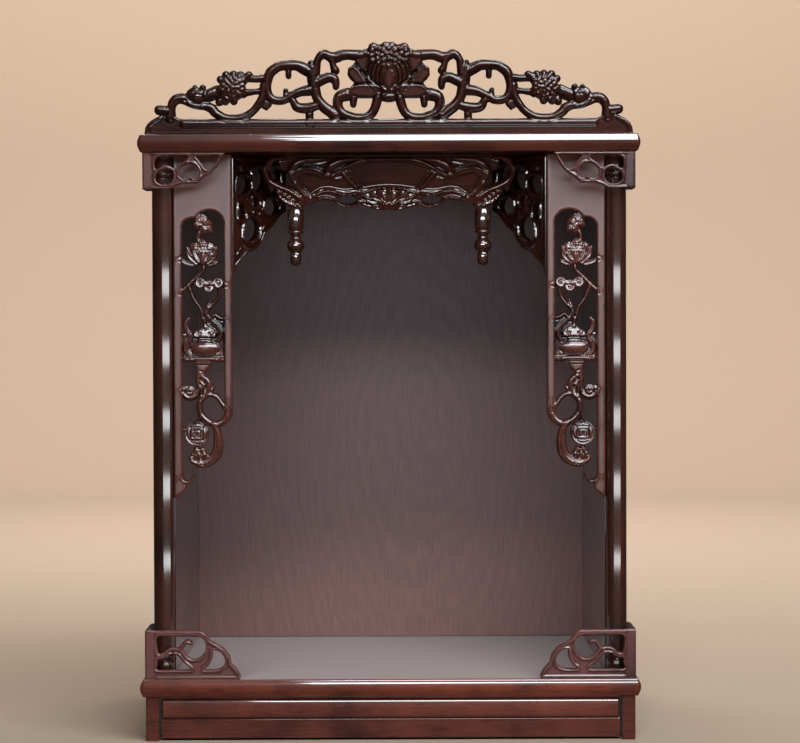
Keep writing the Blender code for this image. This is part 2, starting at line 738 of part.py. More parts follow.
def crest():
    low, high = (-250, -2), (250, 100)
    half = joined(crest_vines(), crest_bud(), crest_flower(), crest_lotus())
    layers = [(outline(mirrored(half), low, high), CREST_THICK - 4 * MM, -2 * MM)]
    layers.append((outline(disc(*CREST_LOTUS, 21, 27), low, high), CREST_THICK - 4 * MM, 0))
    for (x, z), radius in ((FLOWER_HEART, 13), (BUD_HEART, 9)):
        for side in (-1, 1):
            heart = outline(disc(side * x, z, radius), low, high)
            layers.append((heart, CREST_THICK - 4 * MM, -0.5 * MM))
    board("crest", layers, (0, CREST_Y, ROOF_TOP + FIT))


def fret_boards():
    low, high = (-2, -2), (FRET_WIDTH + 2, FRET_HEIGHT + 2)
    pierced = joined(
        fret_frame(), fret_stems(), fret_flower(), fret_cloud(), fret_ground(), fret_bowl(),
        fret_coin()
    )
    relief = (
        (outline(pierced, low, high), FRET_THICK, 0),
        (outline(shrunk(fret_bowl(), 1.2), low, high), FRET_THICK - 3 * MM, FRET_PROUD),
        (outline(disc(*LOTUS_HEART, 10), low, high), FRET_THICK - 3 * MM, FRET_PROUD),
    )
    z = ROOF_UNDER - FIT - FRET_HEIGHT * MM
    for side, sign in (("left", -1), ("right", 1)):
        turn = flipped if sign > 0 else list
        layers = [(turn(loops), thickness, proud) for loops, thickness, proud in relief]
        board(f"fret_board_{side}", layers, (sign * (CASE_HALF - FIT), FRET_Y, z))


def brackets():
    """Front and side plates of the four front corners' brackets. Each pair meets at the corner."""
    low, high = (-2, -2), (100, 52)
    corner_x = WIDTH / 2 - BRACKET_OUT
    corner_y = FRONT + BRACKET_INSET
    inner = (BRACKET_THICK + FIT) / MM
    behind = plate((-9, -9), (-9, 60), (inner, 60), (inner, -9))
    kinds = (
        ("rail_bracket", rail_bracket(), BASE_TOP + FIT, list),
        ("roof_bracket", roof_bracket(), ROOF_UNDER - FIT, hung),
    )
    for kind, shape, z, drawn in kinds:
        front = drawn(outline(shape, low, high))
        back = drawn(outline(cut(shape, behind), low, high))
        for side, sign in (("left", -1), ("right", 1)):
            face = flipped(front) if sign > 0 else front
            board(f"{kind}_front_{side}", [(face, BRACKET_THICK, 0)], (sign * corner_x, corner_y, z))
            face = back if sign > 0 else flipped(back)
            across = (0, sign, 0)
            origin = (sign * corner_x, corner_y, z)
            board(f"{kind}_side_{side}", [(face, BRACKET_THICK, 0)], origin, across)


def canopy():
    """The canopy leans out at its top, and its two pendants hang from its lower corners."""
    low, high = (-132, -2), (132, 60)
    face = hung(outline(mirrored(canopy_board()), low, high))
    flower = hung(outline(mirrored(canopy_flower()), low, high))
    up = (0, -math.sin(CANOPY_TILT), math.cos(CANOPY_TILT))
    layers = [(face, CANOPY_THICK, 0), (flower, CANOPY_THICK - 2 * MM, CANOPY_PROUD)]
    drop = CANOPY_THICK * math.sin(CANOPY_TILT)
    board("canopy_board", layers, (0, CANOPY_Y, ROOF_UNDER - FIT - drop), up=up)
    pendant_y = CANOPY_Y + (ROOF_UNDER - PENDANT_TOP) * math.tan(CANOPY_TILT) + CANOPY_THICK / 2
    for side, sign in (("left", -1), ("right", 1)):
        place = (sign * PENDANT_X, pendant_y, PENDANT_TOP)
        turned(f"pendant_{side}", pendant_profile(), place, steps=12)


def pendant_profile():
    """A drum, a collar, a bead, a ball and a rounded tip, from the top down."""
    rows = [(0, 0), (8.3, 0), (8.3, -20.5), (7.0, -21.5)]
    rows += bead(-22, -25.5, 7.0, 8.5, 3)[1:]
    rows += [(5.2, -28)]
    rows += bead(-28.5, -31.5, 5.0, 6.0, 2)[1:]
    rows += bead(-31.5, -44, 5.0, 9.0, 5)[1:]
    rows += [(5.6, -45.5), (5.6, -54), (4.4, -57.2), (0, -58.8)]
    return [(radius * MM, height * MM) for radius, height in rows]


def wings():
    """Pierced boards that splay inwards from the fret boards to the ends of the canopy."""
    low, high = (-2, -2), (WING_LENGTH + 2, WING_HEIGHT + 2)
    loops = outline(wing_board(), low, high)
    for side, sign in (("left", -1), ("right", 1)):
        face = flipped(loops) if sign > 0 else loops
        origin = (sign * WING_OUTER.x, WING_OUTER.y, WING_OUTER.z)
        across = (math.cos(WING_TURN), -sign * math.sin(WING_TURN), 0)
        board(f"wing_{side}", [(face, WING_THICK, 0)], origin, across)


clear_scene()
PIECES = collection("household altar cabinet")
LAYERS = collection("layers that are joined to boards", hidden=True)
slabs()
foot_posts()
plinth()
columns()
case()
crest()
fret_boards()
brackets()
canopy()
wings()
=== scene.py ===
"""Household altar cabinet of lacquered hardwood: its carving, mouldings and finish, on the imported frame.

Metres, +Z up, front towards -Y. Carved boards are worked in millimetres, in the plane of each board.
"""

import json
import math
from contextlib import contextmanager

import bmesh
import bpy
import numpy as np
from mathutils import Matrix, Vector

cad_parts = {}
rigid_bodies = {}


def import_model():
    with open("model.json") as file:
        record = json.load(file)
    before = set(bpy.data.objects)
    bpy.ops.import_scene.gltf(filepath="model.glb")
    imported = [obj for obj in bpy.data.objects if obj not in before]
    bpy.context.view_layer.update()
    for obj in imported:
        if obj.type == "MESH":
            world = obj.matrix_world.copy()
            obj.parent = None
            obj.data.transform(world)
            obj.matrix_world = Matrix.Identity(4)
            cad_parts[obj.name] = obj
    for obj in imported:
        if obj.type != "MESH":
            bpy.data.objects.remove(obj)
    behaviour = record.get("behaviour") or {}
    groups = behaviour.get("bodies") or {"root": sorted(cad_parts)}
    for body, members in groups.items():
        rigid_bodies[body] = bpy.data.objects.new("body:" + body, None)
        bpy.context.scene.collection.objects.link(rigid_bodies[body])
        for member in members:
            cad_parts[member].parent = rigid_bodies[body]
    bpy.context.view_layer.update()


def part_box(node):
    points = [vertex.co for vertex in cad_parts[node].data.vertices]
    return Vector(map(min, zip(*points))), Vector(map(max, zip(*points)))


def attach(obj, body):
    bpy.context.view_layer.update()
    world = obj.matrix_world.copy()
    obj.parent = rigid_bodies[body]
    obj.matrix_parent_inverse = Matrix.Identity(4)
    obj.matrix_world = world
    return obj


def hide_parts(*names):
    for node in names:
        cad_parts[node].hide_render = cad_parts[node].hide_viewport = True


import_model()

MM = 0.001
FAR = 1e3  # further than any board reaches, mm
SIDES = (("left", -1), ("right", 1))
SHARP = math.radians(52)  # edges that turn further than this stay sharp

# Sizes of the carving, in millimetres.
GROUND = -6.0  # the height of a board before anything is laid on it
MARGIN = 1.3  # how far past a stroke's own edge its height is kept
MOAT_WIDTH = 1.3  # width of the shadow line cut round a stroke that lies over others
PROUDEST = 2.5  # the greatest height of a sharpened ridge
# The crease measure below paints shade into the carving: the wood's colour is darkened in its creases.
CREASE_REACH = 1.8  # the distance over which a crease is told from the ground round it
CREASE_FULL = 0.55  # the depth below that ground at which a crease is fully dark
POLISH_REACH = 1.2  # how far round the carving a board is polished
POLISH_SLOPE = 0.35  # the slope that counts as carved
PUNCH_SPACING, PUNCH_DEPTH = 2.4, 0.13
CROWN_LOW, CROWN_SPAN = -5.0, 6.0  # the heights over which the wood's colour gets lighter


# ---------------------------------------------------------------- flat shapes
# A shape is a function of x and z, in millimetres, that is negative inside it.


def spline(a, b, c, d, t):
    """The smooth curve from b to c, given the points before and after them."""
    cubic = (2 * a - 5 * b + 4 * c - d) * t**2 + (3 * b - a - 3 * c + d) * t**3
    return b + ((c - a) * t + cubic) / 2


def smooth_path(stations, per_span=6):
    """A smooth curve through the stations (x, z, width), as rows of the same three numbers."""
    rows = np.array(stations, float)
    if len(rows) < 3:
        return rows
    rows = np.vstack([2 * rows[0] - rows[1], rows, 2 * rows[-1] - rows[-2]])
    t = np.linspace(0, 1, per_span, endpoint=False)[:, None]
    spans = [spline(*four, t) for four in zip(rows, rows[1:], rows[2:], rows[3:])]
    return np.vstack([*spans, rows[-2]])


def from_segment(x, z, a, b):
    """The distance to the segment, and how far along it the nearest point lies, from 0 to 1."""
    dx, dz = b[0] - a[0], b[1] - a[1]
    along = ((x - a[0]) * dx + (z - a[1]) * dz) / max(dx * dx + dz * dz, 1e-12)
    along = np.clip(along, 0, 1)
    return np.hypot(x - a[0] - along * dx, z - a[1] - along * dz), along


def plate(*corners, grow=0.0):
    """A straight-sided shape. Growing it by a distance rounds its corners."""

    def shape(x, z):
        nearest = np.full(x.shape, FAR)
        inside = np.zeros(x.shape, bool)
        for a, b in zip(corners, corners[1:] + corners[:1]):
            nearest = np.minimum(nearest, from_segment(x, z, a, b)[0])
            level = (a[1] > z) != (b[1] > z)
            before = (x - a[0]) * (b[1] - a[1]) < (b[0] - a[0]) * (z - a[1])
            inside ^= level & (before == (b[1] > a[1]))
        return np.where(inside, -nearest, nearest) - grow

    shape.low = np.min(corners, axis=0) - grow
    shape.high = np.max(corners, axis=0) + grow
    return shape


def hollow(*corners, grow=0.0):
    """A shape whose outline runs smoothly through the corners, in four steps from each to the next."""
    rows = np.array(corners, float)
    neighbours = (np.roll(rows, shift, axis=0)[:, None] for shift in (1, 0, -1, -2))
    t = np.linspace(0, 1, 4, endpoint=False)[None, :, None]
    line = spline(*neighbours, t)
    return plate(*map(tuple, line.reshape(-1, 2).tolist()), grow=grow)


def disc(x0, z0, radius, height=None):
    """A round, or an oval where a height is given."""
    height = height or radius

    def shape(x, z):
        return np.hypot(x - x0, (z - z0) * radius / height) - radius

    shape.low = np.array((x0 - radius, z0 - height))
    shape.high = np.array((x0 + radius, z0 + height))
    return shape


# ---------------------------------------------------------------- cross sections of a stroke
# A section gives the height across a stroke, 1 at the crown, from the share of the way to its edge.


def rounded(share):
    return 1 - share**2


def dished(share):
    """A hollow petal with a raised rim."""
    rim, heart = 0.74, 0.62
    slope = 1 - ((share - rim) / (1 - rim)) ** 2
    return np.where(share > rim, slope, heart + (1 - heart) * (share / rim) ** 2)


def ribbed(share):
    """A strap with a rib along each side."""
    return (1 - share**4) * (0.72 - 0.28 * np.cos(2 * math.pi * share))


class Carving:
    """A board under the chisel: its outline, and how far its face stands out at each point of a fine grid.

    Heights are in millimetres, outwards from the plane of the board's face. The outline is kept as the
    distance outside it, so the wood is where that is negative.
    """

    def __init__(self, low, high, step):
        self.step = step
        self.xs, self.zs = (np.arange(a, b + step, step) for a, b in zip(low, high))
        self.edge = np.full((len(self.xs), len(self.zs)), FAR)
        self.face = np.full(self.edge.shape, GROUND)

    def window(self, low, high, reach=MARGIN):
        """The part of the grid from low to high, with a margin, and the x and z of its points."""
        part = tuple(
            slice(max(int((a - reach - line[0]) / self.step), 0), int((b + reach - line[0]) / self.step) + 2)
            for a, b, line in zip(low, high, (self.xs, self.zs))
        )
        x, z = np.meshgrid(self.xs[part[0]], self.zs[part[1]], indexing="ij")
        return part, x, z

    def lay(self, part, gap, level, wood, moat):
        """Lays a stroke on the board, given the distance outside it and its height."""
        edge, face = self.edge[part], self.face[part]
        if moat:
            near = np.clip(1 - np.maximum(gap, 0) / MOAT_WIDTH, 0, 1)
            face -= np.where(gap > 0, moat * near**2, 0)
        on = gap < 0
        if wood:
            fresh = (gap < MARGIN) & (edge > 0) & ~on
            face[fresh] = level[fresh]
            face[on & (edge > 0)] = -FAR
            np.minimum(edge, gap, out=edge)
        face[on] = np.maximum(face[on], level[on])

    def stroke(self, stations):
        """The part of the grid round a stroke, the distance outside it and the share across it."""
        path = smooth_path(stations)
        reach = path[:, 2].max() / 2 + MARGIN
        part, x, z = self.window(path[:, :2].min(0), path[:, :2].max(0), reach)
        gap, share = np.full(x.shape, FAR), np.full(x.shape, FAR)
        for a, b in zip(path, path[1:]):
            distance, along = from_segment(x, z, a, b)
            half = np.maximum(a[2] + (b[2] - a[2]) * along, 0.2) / 2
            closer = distance - half < gap
            gap = np.where(closer, distance - half, gap)
            share = np.where(closer, distance / half, share)
        return part, gap, share

    def vine(self, *stations, crown=-1.2, shoulder=-4.4, moat=0.7, section=rounded, wood=True):
        """A rounded strip through stations of x, z and width."""
        part, gap, share = self.stroke(stations)
        level = shoulder + (crown - shoulder) * section(np.clip(share, 0, 1))
        self.lay(part, gap, level, wood, moat)

    def dome(self, x0, z0, radius, height=None, *, crown, shoulder, moat=0.6, wood=True, section=rounded):
        """A rounded heap on a round or oval foot."""
        shape = disc(x0, z0, radius, height)
        part, x, z = self.window(shape.low, shape.high)
        gap = shape(x, z)
        share = np.clip(1 + gap / radius, 0, 1)
        self.lay(part, gap, shoulder + (crown - shoulder) * section(share), wood, moat)

    def flat(self, shape, level=0.0, fall=1.0, moat=0.0, wood=True, tilt=0.0):
        """A flat area whose edge falls away in a quarter round. A tilt lets it lean back towards its top."""
        part, x, z = self.window(shape.low, shape.high)
        gap = shape(x, z)
        inside = np.clip(-gap / fall, 0, 1)
        lean = tilt * np.clip((shape.low[1] + shape.high[1]) / 2 - z, shape.low[1] - shape.high[1], None)
        self.lay(part, gap, level + lean - fall * (1 - np.sqrt(1 - (1 - inside) ** 2)), wood, moat)

    def sink(self, shape, depth, slope):
        """Lowers the ground inside a shape, with a slope of a given width round it."""
        part, x, z = self.window(shape.low, shape.high)
        self.face[part] -= depth * np.clip(-shape(x, z) / slope, 0, 1)

    def pierce(self, *shapes):
        """Cuts shapes right through the board."""
        for shape in shapes:
            part, x, z = self.window(shape.low, shape.high)
            edge = self.edge[part]
            np.maximum(edge, -shape(x, z), out=edge)

    def ridge(self, *stations, rise, width=None):
        """Raises a thin rounded line, or cuts a groove where the rise is negative.

        Where its width is given, it is the same all along and the stations are only points.
        """
        if width:
            stations = [(*point, width) for point in stations]
        part, gap, share = self.stroke(stations)
        self.face[part] += rise * np.clip(1 - share**2, 0, 1)

    def seed(self, x0, z0, radius, rise):
        """Raises a small half ball."""
        part, x, z = self.window((x0 - radius, z0 - radius), (x0 + radius, z0 + radius))
        share = np.hypot(x - x0, z - z0) / radius
        self.face[part] += rise * np.sqrt(np.clip(1 - share**2, 0, 1))

    def curl(self, x0, z0, radius, turns, start, rise, width, way=1):
        """A spiral line that winds inwards from the radius to an eighth of it."""
        steps = np.linspace(0, 1, int(9 * turns) + 2)
        angle = start + way * math.tau * turns * steps
        reach = radius * (1 - 0.88 * steps)
        points = np.stack([x0 + reach * np.cos(angle), z0 + reach * np.sin(angle)], 1)
        self.ridge(*points.tolist(), width=width, rise=rise)

    def rim(self, inset, width, rise, start=-FAR):
        """A bead that follows every edge of the board at the same distance, from an x onwards."""
        share = (-self.edge - inset) / (width / 2)
        begun = np.clip((self.xs - start) / width, 0, 1)[:, None]
        self.face += rise * np.clip(1 - share**2, 0, 1) * begun

    def stipple(self, shape):
        """Close punch marks in rows."""
        part, x, z = self.window(shape.low, shape.high)
        rows = np.cos(math.tau * x / PUNCH_SPACING + np.sin(z))
        marks = rows * np.cos(math.tau * z / PUNCH_SPACING + np.sin(0.7 * x))
        self.face[part] += PUNCH_DEPTH * marks * (shape(x, z) < 0)

    def soften(self, radius):
        """Rounds over the edges, and lets the lacquer fill the creases a little."""
        inside = np.clip(-self.edge / radius, 0, 1)
        self.face -= radius * (1 - np.sqrt(1 - (1 - inside) ** 2))
        weight = (self.edge < MARGIN).astype(float)
        for axis in (0, 1):
            total, mass = self.face * weight * 2, weight * 2
            for shift in (-1, 1):
                total += np.roll(self.face * weight, shift, axis)
                mass += np.roll(weight, shift, axis)
            self.face = np.where(mass > 0, total / np.maximum(mass, 1), self.face)

    def worked(self):
        """From 0 where the board is left flat to 1 round its carving."""
        slopes = [np.abs(np.gradient(self.face, self.step, axis=axis)) for axis in (0, 1)]
        steep = np.clip(np.hypot(*slopes) / POLISH_SLOPE, 0, 1) * (self.edge < 0)
        reach = max(round(POLISH_REACH / self.step), 1)
        for spread in (np.max, np.mean):
            for axis in (0, 1):
                shifts = range(-reach, reach + 1)
                steep = spread([np.roll(steep, shift, axis) for shift in shifts], axis=0)
        return steep

    def above_ground(self, reach):
        """How far each point stands out past the mean height of the wood round it."""
        weight = (self.edge < MARGIN).astype(float)
        total, mass = self.face * weight, weight
        span = range(-round(reach / self.step), round(reach / self.step) + 1)
        for axis in (0, 1):
            total = sum(np.roll(total, shift, axis) for shift in span)
            mass = sum(np.roll(mass, shift, axis) for shift in span)
        return np.where(weight > 0, self.face - total / np.maximum(mass, 1), 0.0)

    def sharpen(self, reach, share):
        """Cuts the creases deeper and lifts the ridges, by how far they lie off the ground round them."""
        self.face = np.minimum(self.face + share * self.above_ground(reach), PROUDEST)

    def sunk(self):
        """From 0 on open ground to 1 in a crease. The board's rounded edge is no crease."""
        depth = -self.above_ground(CREASE_REACH) / CREASE_FULL
        return np.clip(depth - 0.15, 0, 1) * (self.edge < -0.4)

    def mirror(self):
        """Adds the mirror image at negative x. The board was worked from x = 0."""
        self.xs = np.concatenate([-self.xs[:0:-1], self.xs])
        self.edge = np.concatenate([self.edge[:0:-1], self.edge])
        self.face = np.concatenate([self.face[:0:-1], self.face])

    def hang(self):
        """Turns a board that was worked from its top downwards the right way up."""
        self.zs = -self.zs[::-1]
        self.edge, self.face = self.edge[:, ::-1], self.face[:, ::-1]


# ---------------------------------------------------------------- making meshes


@contextmanager
def shaping(mesh):
    """Opens a mesh to be worked on, and writes it back."""
    work = bmesh.new()
    work.from_mesh(mesh)
    yield work
    work.to_mesh(mesh)
    work.free()


def corners_of(edge):
    """The numbers of the grid's points on the wood and of the crossings of the outline."""
    inside = edge < 0
    point = np.full(edge.shape, -1)
    point[inside] = np.arange(inside.sum())
    across_x, across_z = inside[:-1] != inside[1:], inside[:, :-1] != inside[:, 1:]
    count = int(inside.sum())
    cross_x = np.full(across_x.shape, -1)
    cross_x[across_x] = count + np.arange(across_x.sum())
    count += int(across_x.sum())
    cross_z = np.full(across_z.shape, -1)
    cross_z[across_z] = count + np.arange(across_z.sum())
    return inside, point, cross_x, cross_z


def patches(inside, point, cross_x, cross_z):
    """The faces of the board's front, clipped at the outline, and the steps along the outline."""
    bits = (inside[:-1, :-1], inside[1:, :-1], inside[1:, 1:], inside[:-1, 1:])
    patterns = sum(bit.astype(int) << k for k, bit in enumerate(bits))
    faces, steps = [], []
    for pattern in range(1, 16):
        i, j = np.nonzero(patterns == pattern)
        if not len(i):
            continue
        corners = (point[i, j], point[i + 1, j], point[i + 1, j + 1], point[i, j + 1])
        middles = (cross_x[i, j], cross_z[i + 1, j], cross_x[i, j + 1], cross_z[i, j])
        walk = []
        for k in range(4):
            here, there = pattern >> k & 1, pattern >> (k + 1) % 4 & 1
            if here:
                walk.append((False, corners[k]))
            if here != there:
                walk.append((True, middles[k]))
        faces.extend(np.stack([numbers for _, numbers in walk], 1).tolist())
        for (crossing, a), (next_crossing, b) in zip(walk, walk[1:] + walk[:1]):
            if crossing and next_crossing:
                steps.append(np.stack([a, b], 1))
    return faces, np.concatenate(steps)


def board_mesh(name, carving, thickness, back=None, mirrored=False):
    """The closed mesh of a carved board: its first two axes lie in its plane, and the third points outwards.

    Without heights for its back the board is flat behind. Each point carries three measures for the finish:
    its height, how much the wood is worked there, and how deep it lies in a crease.
    """
    edge, face = carving.edge, carving.face
    inside, point, cross_x, cross_z = corners_of(edge)
    faces, steps = patches(inside, point, cross_x, cross_z)
    x, z = np.meshgrid(carving.xs, carving.zs, indexing="ij")
    back = np.full(edge.shape, -thickness) if back is None else back
    layers = [x, z, face, back, carving.worked(), carving.sunk()]
    rows = [np.stack([layer[inside] for layer in layers], 1)]
    for numbers, low, high in (
        (cross_x, np.s_[:-1], np.s_[1:]), (cross_z, np.s_[:, :-1], np.s_[:, 1:])
    ):
        on = numbers >= 0
        share = np.clip(edge[low][on] / (edge[low][on] - edge[high][on]), 0.05, 0.95)
        between = [layer[low][on] + (layer[high][on] - layer[low][on]) * share for layer in layers]
        rows.append(np.stack(between, 1))
    rows = np.concatenate(rows)
    count = len(rows)
    turn = -1 if mirrored else 1
    front = np.stack([rows[:, 0] * turn, rows[:, 1], rows[:, 2]], 1)
    behind = np.stack([rows[:, 0] * turn, rows[:, 1], rows[:, 3]], 1)
    carved_back = back.std() > 0
    if carved_back:
        points = np.concatenate([front, behind])
        behind_steps = steps + count
        back_faces = [[number + count for number in reversed(face)] for face in faces]
    else:
        rim = np.unique(steps)
        place = np.zeros(count, int)
        place[rim] = np.arange(len(rim))
        points = np.concatenate([front, behind[rim]])
        behind_steps = place[steps] + count
        back_faces = []
    walls = np.stack([steps[:, 1], steps[:, 0], behind_steps[:, 0], behind_steps[:, 1]], 1).tolist()
    faces = faces + walls + back_faces
    if mirrored:
        faces = [face[::-1] for face in faces]
    mesh = bpy.data.meshes.new(name)
    mesh.from_pydata(points.tolist(), [], faces)
    if not carved_back:
        with shaping(mesh) as work:
            rim = [edge for edge in work.edges if edge.is_boundary]
            made = bmesh.ops.triangle_fill(work, use_beauty=True, edges=rim)["geom"]
            for face in made:
                if isinstance(face, bmesh.types.BMFace) and face.normal.z > 0:
                    face.normal_flip()
    height = np.zeros(len(mesh.vertices), np.float32)
    height[:count] = np.clip((rows[:, 2] - CROWN_LOW) / CROWN_SPAN, 0, 1)
    if carved_back:
        height[count:] = np.clip((-thickness - rows[:, 3] - CROWN_LOW) / CROWN_SPAN, 0, 1)
    mesh.attributes.new("crown", "FLOAT", "POINT").data.foreach_set("value", height)
    for column, attribute, elsewhere in ((4, "worked", 1), (5, "sunk", 0)):
        values = np.full(len(mesh.vertices), elsewhere, np.float32)
        values[:count] = rows[:, column]
        mesh.attributes.new(attribute, "FLOAT", "POINT").data.foreach_set("value", values)
    return mesh


def set_board(mesh, origin, across=(1, 0, 0), up=(0, 0, 1)):
    """Puts a board's mesh in its place in the cabinet, in metres."""
    across, up = Vector(across), Vector(up)
    axes = Matrix((across, up, across.cross(up))).transposed().to_4x4()
    mesh.transform(Matrix.Translation(origin) @ axes @ Matrix.Scale(MM, 4))
    mesh.update()


def smooth(mesh, flat_from):
    """Shades a mesh smooth, except across sharp edges and on faces over a given area, in square metres."""
    mesh.shade_smooth()
    mesh.set_sharp_from_angle(angle=SHARP)
    for face in mesh.polygons:
        if face.area > flat_from:
            face.use_smooth = False


def add_piece(name, mesh, finish, *nodes, slot="lacquered_hardwood", flat_from=FAR):
    """Puts a finished mesh in the scene, in the place of the solids that it stands for."""
    piece = bpy.data.objects.new(name, mesh)
    bpy.context.scene.collection.objects.link(piece)
    mesh.materials.clear()
    mesh.materials.append(finish)
    smooth(mesh, flat_from)
    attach(piece, "root")
    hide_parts(*nodes)
    return piece


# ---------------------------------------------------------------- the crest

# Half the crest: x from its middle, z up from the roof slab.
FLOWER_HEART = (157, 48)
BUD_HEART = (194.5, 39)
CREST_CROWN = 1.6  # how far the plainer back of the stems lies below the thickest part, mm
CREST_SHOULDER = 4.8  # how far the edges of the stems lie below it
FLOWER_RINGS = ((12.2, 15, 2.9), (8.8, 12, 2.6), (5.2, 8, 2.2), (1.8, 3, 1.9))  # reach, count, size


def crest_vines(wood):
    """Half of the crest: the rail, and the scrolling stems that grow from its end to the middle."""
    rail = plate((-9, 0), (246, 0), (245, 8), (242.5, 12.5), (239, 15.5), (232, 19.5), (224, 24),
                 (214.5, 19.5), (210, 17.2), (-9, 16.6))
    wood.flat(rail, level=-2.6, fall=1.5)
    wood.ridge((-9, 12.2), (206, 12.2), width=8.4, rise=2.0)
    wood.ridge((243, 4, 6), (242, 9, 6), (237, 13.5, 5), (230, 17.5, 4), rise=1.0)
    deep = {"crown": -2.4, "shoulder": -5.0}
    wood.vine((223, 25, 11), (231, 26, 10), crown=-1.0)
    wood.vine((150, 57, 7), (140, 57.5, 7.5), (132, 57.2, 7.5), (126, 57.8, 8), **deep)
    wood.vine((150, 43, 9), (140, 43.8, 7), (135, 44.3, 6), (128, 45, 7), **deep)
    wood.vine((79.8, 12, 8.2), (79.8, 24, 8.2), **deep)
    wood.vine((103.5, 40, 6), (103.6, 45.6, 5), **deep)
    wood.vine((101, 70, 6.5), (100.8, 59.8, 6), **deep)
    wood.vine((78.5, 66, 9), (78.3, 73.2, 5.6), **deep)
    wood.flat(plate((130, 36), (118, 34), (118.6, 30.5), (123, 26), (127.5, 28.5), grow=0.8), level=-3.2)
    wood.vine((187, 31, 8), (178.3, 27.6, 10), (174.5, 23.2, 9.5), (165, 18, 9), (155, 17, 9.5),
              (146, 18.7, 9), (137, 24.5, 7.8), (131.5, 31, 8), (126.5, 40, 8.5), (125.5, 50, 9))
    wood.vine((220, 18, 12), (218.8, 28, 8.6), (217, 33.4, 9.5), (213, 37, 10.3), (207, 37.5, 10.7),
              (200, 36, 10))
    wood.vine((188, 38, 14), (180, 41, 13), (172, 44, 14), crown=-2.2)
    wood.vine((79, 64, 12), (85.3, 67.3, 12), (92, 70.3, 10.6), (101, 70.7, 10), (109, 70, 9.6),
              (114.5, 67.2, 10), (119.5, 62.5, 10), (122.5, 52, 9), (121.5, 43, 8.5),
              (117.8, 37.4, 9), (112, 35.4, 8.8), (106, 35.8, 8.6), (100.5, 38.8, 9.5),
              (95, 41.5, 8.8), (88.5, 44.3, 9.8), (80, 45.6, 11.4), crown=-0.9)
    wood.vine((99, 38, 8), (95.8, 34, 8), (92.8, 29.3, 9.6), (87, 27.6, 10.2), (80.5, 28, 10.4),
              (73, 30, 9))
    wood.vine((77.5, 68, 9), (76.3, 57, 12), (74, 45, 11), (71.5, 37, 10), (66, 29.5, 11),
              (60, 25, 11.5), (53.5, 20, 12), crown=-0.8)
    wood.vine((74, 58, 10), (73.3, 68, 9.5), (71, 76.5, 7.5), (66.5, 81.3, 9), (61.5, 80.5, 9.5),
              (57, 75.5, 7.5), (55.8, 70, 6.8), (53.8, 65.3, 9))
    wood.vine((60, 80, 9), (53.5, 78.5, 11), (47.5, 80.6, 10.8), (41, 81.2, 10.2), (35, 80.7, 10.8),
              (27, 80, 12))
    wood.vine((73, 53, 11), (67, 56, 10.5), (60.5, 58.4, 10.4), (55, 57, 9.5), (53.2, 52.5, 7.8),
              (53.2, 49, 6.6), crown=-1.0)
    wood.vine((11, 41, 9), (12, 34, 9.8), (15.3, 24.8, 9.2), (21, 19.3, 9.5), (30, 17.2, 10),
              (39, 18.8, 10), (48, 23.5, 10), (51.4, 31.5, 10), (49.5, 38.5, 11.5), (43, 41, 13),
              (36, 42, 12), crown=-0.8)
    wood.vine((35.3, 40, 9), (35.8, 31.2, 6.6))


def crest_bud(wood):
    """A half-open bud: a cup of petals round a smooth heart."""
    wood.vine((206, 34, 5), (196, 31, 7), (187, 29.8, 7.6), crown=-1.2)
    wood.vine((196, 42, 8), (194.8, 48.8, 5), crown=-1.6)
    wood.vine((188, 42, 9), (187, 48.5, 6.5), crown=-1.4)
    wood.vine((200, 40, 8), (201, 43, 4), crown=-1.6)
    wood.dome(*BUD_HEART, 10, crown=-0.6, shoulder=-3.6)
    wood.dome(192, 37.5, 5.4, 6.5, crown=0.3, shoulder=-1.2, wood=False)
    wood.ridge((200.5, 39.5, 2.6), (196, 43.2, 3.2), (190, 43.6, 3), (186, 41.5, 2.4), rise=1.0)
    wood.ridge((202, 35, 2.4), (198.5, 32, 3), (192, 29.6, 3), (187, 29.4, 2.4), rise=1.0)
    wood.ridge((188, 43), (187.5, 48), width=1.2, rise=-0.6)
    wood.ridge((195.5, 44), (195, 48.5), width=1.2, rise=-0.6)


def crest_flower(wood):
    """A full flower: rounded petals, and inside them rings of small crinkled ones."""
    tips = ((169, 56.5), (163.5, 61.2), (156, 61.6), (149, 61), (140.5, 60.8), (146, 42),
            (156, 34.8), (164.5, 34.6), (170.5, 33.8), (170, 46))
    for tip in tips:
        root = [heart + (end - heart) * 0.35 for heart, end in zip(FLOWER_HEART, tip)]
        wood.vine((*root, 12), (*tip, 8), crown=-1.6, shoulder=-4.2, moat=0.9)
    wood.dome(*FLOWER_HEART, 13, crown=0.0, shoulder=-2.4, moat=0.5)
    x0, z0 = FLOWER_HEART
    for ring, (reach, count, size) in enumerate(FLOWER_RINGS):
        for number in range(count):
            angle = math.tau * (number + 0.5 * (ring % 2)) / count
            x, z = x0 + reach * math.cos(angle), z0 + reach * 0.92 * math.sin(angle)
            wood.seed(x, z, size, 1.2)
            tip = 0.4 * size
            wood.seed(x + tip * math.cos(angle), z + tip * math.sin(angle), tip, 0.5)
    for x, z in ((150, 38.5), (157, 36.5), (164, 37)):
        wood.vine((x + 2, z + 3, 6), (x - 3, z - 1.5, 4), crown=-0.2, shoulder=-2.6, moat=0.9, wood=False)


